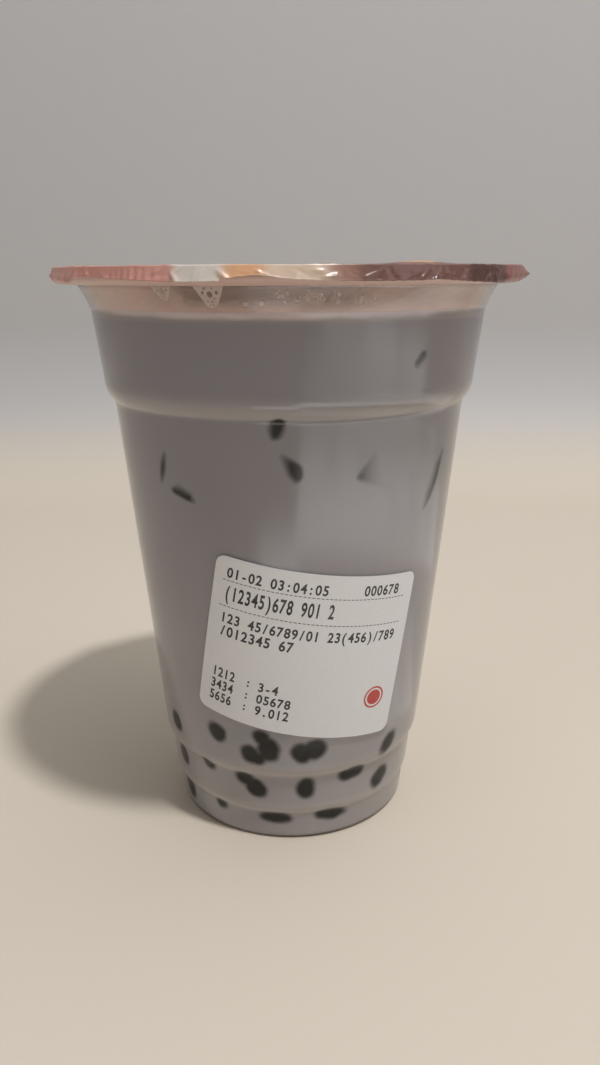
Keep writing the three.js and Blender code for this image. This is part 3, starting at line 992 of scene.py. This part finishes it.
def make_drips(finish):
    """Drips of foam: thin sheets on the wall with a round tip and the larger bubbles left open."""
    points, faces = [], []
    for middle, half_width, tip in DRIPS:
        flat, triangles = drip_sheet(half_width, DRIP_TOP - tip)
        turn = math.radians(middle) + flat[:, 0] / NECK_TOP_RADIUS
        height = DRIP_TOP - flat[:, 1]
        faces.extend(sheet_faces(triangles, len(points), len(points) + len(flat)))
        for off in (DRIP_FRONT, DRIP_FRONT + DRIP_SHEET):
            points.extend(around(turn, wall_radius(height, SHEET + off), height))
    piece = new_piece("froth_drips", points, faces, finish)
    face_outwards(piece)
    keep_sharp(piece, degrees=50)
    store(piece, "cover", np.full(len(points), DRIP_COVER))
    belongs(piece, "froth")


# Single drops: turn, height and radius
DROPLETS = ((-9.4, 114.0, 0.7), (-5.6, 114.1, 0.75), (-2.8, 116.1, 0.4), (-0.2, 114.4, 0.45),
            (0.4, 115.8, 0.5), (12.2, 115.6, 0.6), (12.2, 114.3, 0.5), (17.7, 114.4, 0.7), (21.2, 114.8, 0.5),
            (22.8, 114.5, 0.4))
# Clusters of drops: turn, height, spread
CLUSTERS = ((4.8, 114.9, 0.7), (7.7, 114.9, 0.7), (17.6, 114.5, 0.6), (-1.5, 115.6, 0.4), (110.0, 115.2, 0.7),
            (176.0, 115.0, 0.8), (243.0, 115.2, 0.6))
CLUSTER_DROPS = 16
CLUSTER_FLAT = 0.7
CLUSTER_SIZES = (0.18, 0.42)
# Loose drops at the sides and back fill up this count: where in a clear stretch, heights and radii
DROPLET_COUNT = 170
LOOSE_FROM = 3
LOOSE_SHARE = 0.8
LOOSE_HEIGHTS = (113.6, 116.6)
LOOSE_SIZES = (0.2, 0.7)
# Half sizes of a drop along the wall, into it and up, as shares of its radius
DROPLET_FORM = (1.0, 0.3, 0.95)
DROPLET_COVER = 0.9
DROPLET_FULL = 1.3
# The drops lie in layers this deep, so that no two share a face
DROPLET_LAYERS = 0.045


def make_droplets(finish):
    """Small flat drops of milk on the inside of the neck, thinner towards their edges."""
    draw = np.random.default_rng(SEED + 3)
    drops = list(DROPLETS)
    for turn, height, spread in CLUSTERS:
        for _ in range(CLUSTER_DROPS):
            right, up = draw.normal(0, spread, 2)
            aside = math.degrees(right / NECK_TOP_RADIUS)
            drops.append((turn + aside, height + CLUSTER_FLAT * up, draw.uniform(*CLUSTER_SIZES)))
    while len(drops) < DROPLET_COUNT:
        middle, half_width, _ = CLEAR_STRETCHES[draw.integers(LOOSE_FROM, len(CLEAR_STRETCHES))]
        turn = middle + LOOSE_SHARE * half_width * draw.uniform(-1, 1)
        drops.append((turn, draw.uniform(*LOOSE_HEIGHTS), draw.uniform(*LOOSE_SIZES)))
    turn, height, size = np.array(drops).T
    middles = around(np.radians(turn), wall_radius(height, SHEET + DRIP_FRONT), height)
    piece = new_piece("neck_droplets", middles)
    store(piece, "half_size", np.outer(size, DROPLET_FORM) * MM, "FLOAT_VECTOR")
    store(piece, "facing", np.outer(np.radians(turn), (0, 0, 1)), "FLOAT_VECTOR")
    run_tree(piece, LUMPS, Subdivisions=2, Unevenness=0.1 * MM, Wave=0.5 * MM, Finish=finish)
    points = get_points(piece)
    each = len(points) // len(drops)
    away = np.linalg.norm(points - np.repeat(middles, each, axis=0), axis=1) / MM
    thick = 1 - (away / np.repeat(size, each)) ** 2
    store(piece, "cover", DROPLET_COVER * np.clip(DROPLET_FULL * thick, 0, 1))
    layer = np.repeat(np.linspace(0, DROPLET_LAYERS, len(drops)), each)
    press_on_wall(piece, SHEET + DRIP_FRONT + layer)
    belongs(piece, "froth")


# Sealing film

FILM_SHEET = 0.1
FILM_CROWN = 0.3
FILM_SEAT = 0.05
FILM_SIDES = 1100
FILM_FOLD = 0.3
FILM_SPACING = 0.7
SKIRT_SPACING = 0.18
SKIRT_DROP = 2.4
SKIRT_FLARE = 0.35
# How far the skirt stands out all round, and by its broad waves, its folds and its pleats
SKIRT_OUT = 0.1
SKIRT_WAVE = 0.2
SKIRT_FOLD = 0.15
SKIRT_PLEAT = 0.25
SKIRT_IN = 0.05
# Height of the torn hem by turn
HEM = (
    (-90, 117.1), (-57, 117.1), (-53, 118.0), (-41, 118.2), (-30, 117.8), (-22, 117.5), (-12.6, 117.6),
    (-10.8, 118.1), (-6.5, 118.5), (-4.5, 118.5), (0.5, 117.95), (6.4, 117.7), (16, 117.55), (27, 117.6),
    (31, 117.8), (40, 117.4), (52, 117.0), (90, 117.1), (104, 117.6), (121, 118.3), (139, 117.7),
    (156, 117.4), (171, 118.2), (186, 117.6), (203, 117.4), (219, 118.1), (236, 117.5), (254, 118.2),
)
HEM_FRAY = 0.06
# The lowest part of the skirt, as a share of its drop, curls out and is whitened: worn print with a painted
# highlight along the torn edge
HEM_SHARE = 0.15
HEM_CURL = 0.1
HEM_WORN_AND_GLINT = 0.6
# Stretches where the hem is whitened, worn print with a painted highlight: turn and half width in degrees
WORN_AND_GLINT_STRETCHES = ((0.0, 8.0), (-48.0, 5.0), (110.0, 12.0), (200.0, 10.0))
# Bulges of the film over the mouth: right, back, spread and rise in mm
BULGES = ((24.8, -20.0, 4.0, 0.65), (-14.0, 16.0, 9.0, 0.45), (12.0, 27.0, 7.0, 0.5),
          (-24.0, -14.0, 8.0, -0.3))
# Radial wrinkles over the mouth: the share of the radius where they start, and the broad and fine rise
WRINKLE_FROM = 0.4
WRINKLE_BROAD = 0.15
WRINKLE_FINE = 0.08
# Over the rim the film sinks no further than this
RIM_SINK = 0.02
# Folds of the skirt that stand out halfway down: turn and half width in radians, how far
POUTS = ((1.5, 0.13, 1.9), (-1.4, 0.16, 0.3), (2.6, 0.1, 1.2), (-2.3, 0.12, 1.3))
# Stretches where the skirt is drawn in under the rim: turn and half width in degrees
TUCKS = ((-80.0, 27.0), (80.0, 27.0), (170.0, 14.0), (230.0, 10.0))
# Sharp creases at the front: turn and height, slope in degrees, half length, half width and rise
CREASES = (
    (-50.2, 118.4, 88, 0.6, 0.45, 0.3), (-48.0, 118.5, 86, 0.6, 0.45, 0.3),
    (-45.8, 118.4, 90, 0.6, 0.45, 0.3), (-21.8, 118.3, -54, 1.1, 0.6, 0.64),
    (-11.8, 118.6, -43, 1.4, 0.8, 0.62), (-4.4, 118.9, -20, 1.3, 0.45, 0.26),
    (6.6, 119.2, -6, 1.1, 0.8, 0.44), (8.6, 118.3, 4, 1.4, 0.9, 0.5),
    (16.8, 118.6, 20, 1.5, 0.55, 0.36), (28.4, 118.6, 41, 1.2, 0.55, 0.44),
    (31.4, 118.4, 45, 1.1, 0.55, 0.46), (39.0, 118.3, 54, 1.2, 0.6, 0.6),
    (47.0, 118.0, 60, 0.8, 0.55, 0.6), (55.0, 118.0, 64, 0.7, 0.5, 0.55),
)
# Other creases fill up this count: depth below the rim, slopes, half lengths, half width and rises
CREASE_COUNT = 170
CREASE_DEPTHS = (0.2, SKIRT_DROP)
CREASE_SLOPES = (-80, 80)
CREASE_LENGTHS = (0.8, 2.2)
CREASE_WIDTH = 0.5
CREASE_RISES = (0.06, 0.25)
CREASE_HOLLOW = 1.5


def film_outline(sheet):
    """One face of the film from the axis over the mouth and down the skirt."""
    seat = CUP_HEIGHT + FILM_SEAT + sheet
    skirt = RIM_RADIUS + FILM_SEAT + sheet
    outline = Outline(0, seat + FILM_CROWN, FILM_SPACING)
    outline.curve((NECK_TOP_RADIUS / 2, seat + FILM_CROWN), NECK_TOP_RADIUS, seat, steps=16)
    outline.line(skirt - FILM_FOLD, seat)
    outline.curve((skirt, seat), skirt, seat - FILM_FOLD, steps=6)
    outline.spacing = SKIRT_SPACING
    outline.line(skirt + SKIRT_FLARE, CUP_HEIGHT - SKIRT_DROP)
    return outline.points


def crinkle(across, up, draw):
    """Sharp short creases, the listed ones and others at random, as raised or sunk lines, in mm."""
    creases = list(CREASES)
    while len(creases) < CREASE_COUNT:
        turn, depth = draw.uniform(-180, 180), draw.uniform(*CREASE_DEPTHS)
        slope, length = draw.uniform(*CREASE_SLOPES), draw.uniform(*CREASE_LENGTHS)
        rise = draw.uniform(*CREASE_RISES) * draw.choice((-1, 1))
        creases.append((turn, CUP_HEIGHT - depth, slope, length, CREASE_WIDTH, rise))
    total = np.zeros_like(across)
    for turn, middle, slope, length, width, rise in creases:
        right, above = across - math.radians(turn) * RIM_RADIUS, up - middle
        sine, cosine = math.sin(math.radians(slope)), math.cos(math.radians(slope))
        aside, along = right * sine - above * cosine, right * cosine + above * sine
        ridge = np.maximum(0, 1 - np.abs(aside) / width) ** CREASE_HOLLOW
        total += rise * ridge * np.exp(-(along / length) ** 4)
    return total


def make_film(finish):
    """Film over the mouth with radial wrinkles, and a creased skirt that is torn unevenly at its hem."""
    film = turned("film_cover", film_outline(0) + film_outline(FILM_SHEET)[::-1], FILM_SIDES, finish)
    points = get_points(film) / MM
    turn = turns_of(points)
    radius = np.hypot(points[:, 0], points[:, 1])
    draw = np.random.default_rng(SEED + 4)
    # Share of the way down the skirt, and how far the hem is raised above its lowest place
    hang = np.clip((CUP_HEIGHT + FILM_SHEET - points[:, 2]) / (SKIRT_DROP + FILM_SHEET), 0, 1)
    hem = np.interp(np.degrees(turn), *np.array(HEM).T, period=360) - (CUP_HEIGHT - SKIRT_DROP)
    hem += HEM_FRAY * ripple(turn, (118, 151, 173), draw)
    lowered = points[:, 2] + hem * hang
    at_hem = np.clip((hang - (1 - HEM_SHARE)) / HEM_SHARE, 0, 1) ** 2
    # How far the skirt stands out
    broad = ripple(turn, (5, 9, 14), draw)
    folds = 1 - 2 * np.abs(ripple(turn, (23, 37, 52), draw))
    pleats = ripple(turn, (167, 190, 211), draw) * np.clip(ripple(turn, (6, 11), draw), 0, 1)
    out = hang * (SKIRT_OUT + SKIRT_WAVE * broad + SKIRT_FOLD * folds + SKIRT_PLEAT * pleats)
    out += crinkle(turn * RIM_RADIUS, lowered, draw) * np.sqrt(hang)
    out += HEM_CURL * at_hem
    for middle, half_width, far in POUTS:
        out += far * np.exp(-((turn - middle) / half_width) ** 2) * (1 - np.abs(2 * hang - 1)) * (hang > 0)
    # Where the skirt is tucked in, it follows the rim's outer face
    face = Outline(RIM_TUCK, CUP_HEIGHT - RIM_DROP, CUP_SPACING)
    climb_rim(face)
    face_radius, face_height = np.array(face.points).T
    under = np.interp(lowered, face_height, face_radius) - RIM_RADIUS - hang * SKIRT_FLARE
    tuck = np.clip(sum(stretch(turn, middle, half_width) for middle, half_width in TUCKS), 0, 1)
    out = np.maximum(out, -SKIRT_IN * hang) + tuck * np.minimum(under, 0) * (hang > 0)
    # Wrinkles and bulges over the mouth
    reach = np.clip((radius / NECK_TOP_RADIUS - WRINKLE_FROM) / (1 - WRINKLE_FROM), 0, 1) * (hang < 1e-6)
    wrinkle = WRINKLE_BROAD * ripple(turn, (11, 19, 34, 47), draw)
    wrinkle = reach * (wrinkle + WRINKLE_FINE * ripple(turn, (63, 88, 109), draw))
    for right, back, spread, rise in BULGES:
        off = (points[:, 0] - right) ** 2 + (points[:, 1] - back) ** 2
        wrinkle += rise * np.exp(-off / (2 * spread ** 2))
    points[:, :2] *= (1 + out / np.maximum(radius, 1))[:, None]
    points[:, 2] += hem * hang + np.where(radius > NECK_TOP_RADIUS, np.maximum(wrinkle, -RIM_SINK), wrinkle)
    set_points(film, points * MM)
    # Whitened hem stretches: worn print with a painted highlight
    worn = sum(stretch(turn, middle, half_width) for middle, half_width in WORN_AND_GLINT_STRETCHES)
    store(film, "worn", HEM_WORN_AND_GLINT * at_hem * worn)
    belongs(film, "film", "sealing_film")


# Label

def wrap_on_wall(piece):
    """Rolls a flat piece (right, up and out from the label's middle, in mm) onto the tapering wall."""
    right, up, out = get_points(piece).T
    across = right * math.cos(LABEL_TILT) - up * math.sin(LABEL_TILT)
    along = right * math.sin(LABEL_TILT) + up * math.cos(LABEL_TILT)
    slant = np.hypot(across, LABEL_SLANT + along)
    turn = LABEL_TURN + np.arctan2(across, LABEL_SLANT + along) / math.sin(CONE_ANGLE)
    radius = slant * math.sin(CONE_ANGLE) + out
    set_points(piece, around(turn, radius, CONE_APEX + slant * math.cos(CONE_ANGLE)))


def make_label(finish):
    """A paper sticker with round corners, thick enough to show its edge."""
    rows = LABEL_HEIGHT / 2 * np.sin(np.linspace(-math.pi / 2, math.pi / 2, LABEL_ROWS))
    shares = np.linspace(-1, 1, LABEL_COLUMNS)
    into_corner = np.maximum(0, np.abs(rows) - (LABEL_HEIGHT / 2 - LABEL_CORNER))
    half_widths = LABEL_WIDTH / 2 - LABEL_CORNER + np.sqrt(LABEL_CORNER ** 2 - into_corner ** 2)
    points = []
    for out in (PAPER_BACK, PAPER_FRONT):
        for up, half_width in zip(rows, half_widths):
            points.extend((share * half_width, up, out) for share in shares)
    cells = []
    for row in range(LABEL_ROWS - 1):
        for column in range(LABEL_COLUMNS - 1):
            corner = row * LABEL_COLUMNS + column
            cells.append((corner, corner + 1, corner + LABEL_COLUMNS + 1, corner + LABEL_COLUMNS))
    faces = sheet_faces(cells, front=LABEL_ROWS * LABEL_COLUMNS, back=0)
    label = new_piece("paper_label", points, faces, finish)
    wrap_on_wall(label)
    face_outwards(label)
    keep_sharp(label, degrees=40)
    belongs(label, "label_paper", "label")


# Printed rows of plain numbers: text, left edge and middle height from the label's middle, height and pitch
NUMBER_ROWS = (
    ("01-02 03:04:05", -19.3, 15.0, 2.15, 1.45), ("000678", 8.4, 15.1, 2.15, 1.47),
    ("(12345)678 901 2", -19.1, 10.6, 3.1, 1.38), ("123 45/6789/01 23(456)/789", -19.3, 5.0, 2.2, 1.45),
    ("/012345 67", -19.1, 2.0, 2.3, 1.54), ("1212", -19.4, -8.0, 2.3, 1.32), (":", -12.0, -8.1, 1.9, 1.46),
    ("3-4", -9.3, -8.4, 2.1, 1.46), ("3434", -19.4, -11.0, 2.3, 1.32), (":", -12.0, -11.0, 1.9, 1.46),
    ("05678", -9.2, -11.2, 2.1, 1.45), ("5656", -19.4, -14.0, 2.3, 1.32), (":", -12.0, -13.9, 1.9, 1.46),
    ("9,012", -9.1, -14.0, 2.2, 1.45),
)
DIGIT_WEIGHT = 0.034
# Size of the font at which its signs are a unit high, and a sign's greatest width for its pitch
FONT_SIZE = 1.37
SIGN_WIDTH = 1.25


def sign_mesh(sign):
    """The flat mesh of one sign of the plain font, a unit high."""
    text = bpy.data.curves.new("sign", "FONT")
    text.body = sign
    text.size = FONT_SIZE
    text.offset = DIGIT_WEIGHT
    text.extrude = 0.001
    carrier = bpy.data.objects.new("sign", text)
    bpy.context.scene.collection.objects.link(carrier)
    graph = bpy.context.evaluated_depsgraph_get()
    mesh = bpy.data.meshes.new_from_object(carrier.evaluated_get(graph), depsgraph=graph)
    bpy.data.objects.remove(carrier)
    bpy.data.curves.remove(text)
    return mesh


def make_print(finish):
    """Rows of plain numbers, set sign by sign at an even pitch as a receipt printer does."""
    signs = sorted(set("".join(row[0] for row in NUMBER_ROWS)) - {" "})
    meshes = {sign: sign_mesh(sign) for sign in signs}
    points, faces = [], []
    for row, left, middle, size, pitch in NUMBER_ROWS:
        squeeze = min(size, pitch * SIGN_WIDTH)
        for i, sign in enumerate(row):
            if sign == " ":
                continue
            start = len(points)
            places = [vertex.co for vertex in meshes[sign].vertices]
            half = (max(place.x for place in places) + min(place.x for place in places)) / 2
            for place in places:
                across = left + pitch * (i + 0.5) + (place.x - half) * squeeze
                lift = INK_FRONT if place.z > 0 else PAPER_FRONT
                points.append((across, middle + (place.y - 0.5) * size, lift))
            faces.extend([start + v for v in polygon.vertices] for polygon in meshes[sign].polygons)
    for mesh in meshes.values():
        bpy.data.meshes.remove(mesh)
    numbers = new_piece("label_numbers", points, faces, finish)
    wrap_on_wall(numbers)
    belongs(numbers, "label_paper")


# Dashed rules: left end, heights, count, pitch and size of the dashes
RULE_LEFT = -19.6
RULE_HEIGHTS = (13.2, 7.5)
RULE_LIFT = PAPER_FRONT + 0.005
DASH_COUNT = 44
DASH_PITCH = 0.89
DASH = (0.62, 0.14, 0.02)


def make_dashes(finish):
    """Two dashed rules across the label."""
    rules = new_piece("label_dashes", [(RULE_LEFT, height, RULE_LIFT) for height in RULE_HEIGHTS])
    run_tree(rules, dashes_tree(), Count=DASH_COUNT, Pitch=DASH_PITCH, Dash=DASH, Finish=finish)
    wrap_on_wall(rules)
    belongs(rules, "label_paper")


# Red dot: its place on the label, and the radius of the dot and of the ring round it, inside and outside
RED_DOT_PLACE = (16.1, -9.3)
RED_DOT_RADII = (1.7, 2.1, 2.5)
RED_DOT_SIDES = 64


def make_dot(finish):
    """A plain red dot with a ring in the label's lower corner."""
    turns = np.linspace(0, math.tau, RED_DOT_SIDES, endpoint=False)
    flat = [(0.0, 0.0)]
    for radius in RED_DOT_RADII:
        flat.extend(zip(radius * np.cos(turns), radius * np.sin(turns)))
    edge, inside, outside = (1 + circle * RED_DOT_SIDES for circle in range(len(RED_DOT_RADII)))
    faces = []
    for i in range(RED_DOT_SIDES):
        j = (i + 1) % RED_DOT_SIDES
        faces.append((0, edge + i, edge + j))
        faces.append((inside + i, outside + i, outside + j, inside + j))
    points = []
    for lift in (INK_FRONT, PAPER_FRONT):
        points.extend((RED_DOT_PLACE[0] + right, RED_DOT_PLACE[1] + up, lift) for right, up in flat)
    dot = new_piece("label_dot", points, sheet_faces(faces, front=0, back=len(flat)), finish)
    face_outwards(dot)
    keep_sharp(dot, degrees=40)
    wrap_on_wall(dot)
    belongs(dot, "label_paper")


# Stage, light and camera

PHOTO_HEIGHT = 1065
FOCAL_PIXELS = 866.0
SENSOR = 36.0
CAMERA_PLACE = (2.19, -188.9, 118.7)
CAMERA_PITCH = math.radians(16.63)
CAMERA_ROLL = math.radians(-0.26)


def make_camera():
    """The camera as fitted to the cup's outline and rings."""
    data = bpy.data.cameras.new("camera")
    data.sensor_fit = "VERTICAL"
    data.sensor_height = SENSOR
    data.lens = FOCAL_PIXELS / PHOTO_HEIGHT * SENSOR
    data.clip_start = 0.01
    camera = bpy.data.objects.new("camera", data)
    turn = Matrix.Rotation(math.pi / 2 - CAMERA_PITCH, 4, "X") @ Matrix.Rotation(CAMERA_ROLL, 4, "Z")
    camera.matrix_world = Matrix.Translation(Vector(CAMERA_PLACE) * MM) @ turn
    bpy.context.scene.collection.objects.link(camera)
    bpy.context.scene.camera = camera


FLOOR_FRONT = -1200.0
FLOOR_BACK = 260.0
SWEEP_RADIUS = 90.0
SWEEP_STEPS = 17
BACKDROP_HEIGHT = 1400.0
STAGE_HALF_WIDTH = 1500.0
# The floor's colour gives way to the wall's by this share of the sweep's radius
WALL_FROM = 0.6


def make_stage():
    """A pale floor that sweeps up into a pale grey wall."""
    material, tree = new_material("studio_sweep")
    place = add(tree, "ShaderNodeTexCoord").outputs["Object"]
    height = add(tree, "ShaderNodeSeparateXYZ", {0: place}).outputs["Z"]
    share = add(tree, "ShaderNodeMapRange", {0: height, 1: 0.0, 2: WALL_FROM * SWEEP_RADIUS * MM},
                interpolation_type="SMOOTHSTEP")
    colour = add(tree, "ShaderNodeMix", {0: share, 6: linear("#dcd0bd"), 7: linear("#c2bfbd")},
                 data_type="RGBA")
    paint = add(tree, "ShaderNodeBsdfPrincipled", {"Base Color": colour.outputs[2], "Roughness": 0.6})
    add(tree, "ShaderNodeOutputMaterial", {"Surface": paint})
    sweep = [(FLOOR_FRONT, 0.0), (FLOOR_BACK, 0.0)]
    for angle in np.linspace(0, math.pi / 2, SWEEP_STEPS)[1:]:
        sweep.append((FLOOR_BACK + SWEEP_RADIUS * math.sin(angle), SWEEP_RADIUS * (1 - math.cos(angle))))
    sweep.append((FLOOR_BACK + SWEEP_RADIUS, BACKDROP_HEIGHT))
    points = [(side * STAGE_HALF_WIDTH * MM, y * MM, z * MM) for y, z in sweep for side in (-1, 1)]
    faces = [(2 * i, 2 * i + 1, 2 * i + 3, 2 * i + 2) for i in range(len(sweep) - 1)]
    stage = new_piece("studio_sweep", points, faces, material)
    for polygon in stage.data.polygons:
        polygon.use_smooth = True


# Lamps: name, place in mm, size in mm, power in watts, colour
LAMPS = (
    ("ceiling_key", (300, -420, 1400), 105, 11.5, "#fafbff"),
    ("ceiling_soft", (250, 100, 1350), 1500, 5.5, "#f8fbff"),
    ("room_right", (900, -500, 600), 700, 1.5, "#fafbff"),
    ("room_left", (-900, -700, 700), 900, 1.4, "#fafbff"),
)
AIM = (0, 0, 60)
# Pale strips on the floor in bows at the right front, seen only as a soft reflection in the plastic: radius,
# width and depth of a bow, then the turn and power of each strip
CARD_BOWS = (
    (84, 30, 58, ((14, 0.002), (34, 0.0025), (54, 0.003), (74, 0.003), (94, 0.002))),
    (142, 64, 45, ((-7, 0.014),)),
    (200, 72, 96, ((16, 0.044), (36, 0.042), (56, 0.036), (76, 0.026), (96, 0.017), (116, 0.01))),
    (296, 106, 96, ((20, 0.02), (40, 0.036), (60, 0.036), (80, 0.026), (100, 0.014))),
    (392, 140, 96, ((30, 0.05), (52, 0.09), (74, 0.07))),
)
CARD_HEIGHT = 2.0
ROOM_LIGHT = 0.13


def new_lamp(name, shape, power):
    """An area lamp in the scene."""
    lamp = bpy.data.objects.new(name, bpy.data.lights.new(name, "AREA"))
    lamp.data.shape = shape
    lamp.data.energy = power
    bpy.context.scene.collection.objects.link(lamp)
    return lamp


def make_lights():
    """Lamps overhead and at the sides, pale strips on the floor and an even light all round."""
    for name, place, size, power, colour in LAMPS:
        lamp = new_lamp(name, "DISK", power)
        lamp.data.size = size * MM
        lamp.data.color = linear(colour)[:3]
        lamp.location = Vector(place) * MM
        lamp.rotation_euler = (Vector(AIM) - Vector(place)).to_track_quat("-Z", "Y").to_euler()
    for radius, width, depth, strips in CARD_BOWS:
        for turn, power in strips:
            card = new_lamp("card", "RECTANGLE", power)
            card.data.size, card.data.size_y = width * MM, depth * MM
            card.location = around(np.radians(turn), radius, CARD_HEIGHT)
            card.rotation_euler = (math.pi, 0, math.radians(turn))
            card.visible_camera = False
            card.visible_diffuse = False
            card.visible_transmission = False
    world = bpy.data.worlds.new("room")
    world.use_nodes = True
    room = world.node_tree.nodes["Background"].inputs
    room["Color"].default_value = linear("#f0f2f5")
    room["Strength"].default_value = ROOM_LIGHT
    bpy.context.scene.world = world
    bpy.context.scene.view_settings.view_transform = "Standard"


# The whole drink

make_camera()
LATHE = lathe_tree()
LUMPS = lumps_tree()
wall_finish = polypropylene("polypropylene_thermoformed_clear", "#f6f4f2", "#f2f0ee",
                            roughness=0.16, clearness=1.0)
rim_finish = polypropylene("polypropylene_rim_whitened", "#d3b6ae", "#f0ebe8",
                           roughness=0.4, clearness=0.05)
make_cup(wall_finish, rim_finish)
pearls = make_pearls(tapioca())
ice = make_ice(clear_ice())
make_drink(taro_milk_tea(), pearls, ice)
make_froth(milk_froth())
make_splashes(milk_splash("milk_splash_thin", "#f8dad3"))
foam_finish = milk_splash("milk_foam_dried", "#eedcd7")
make_drips(foam_finish)
make_droplets(foam_finish)
make_film(printed_film())
make_label(thermal_paper())
black_ink = printed_ink("thermal_print_black", "#2c2a2a", "#5a5655")
make_print(black_ink)
make_dashes(black_ink)
make_dot(printed_ink("printed_red", "#c0453f", "#cf6a60"))
make_stage()
make_lights()
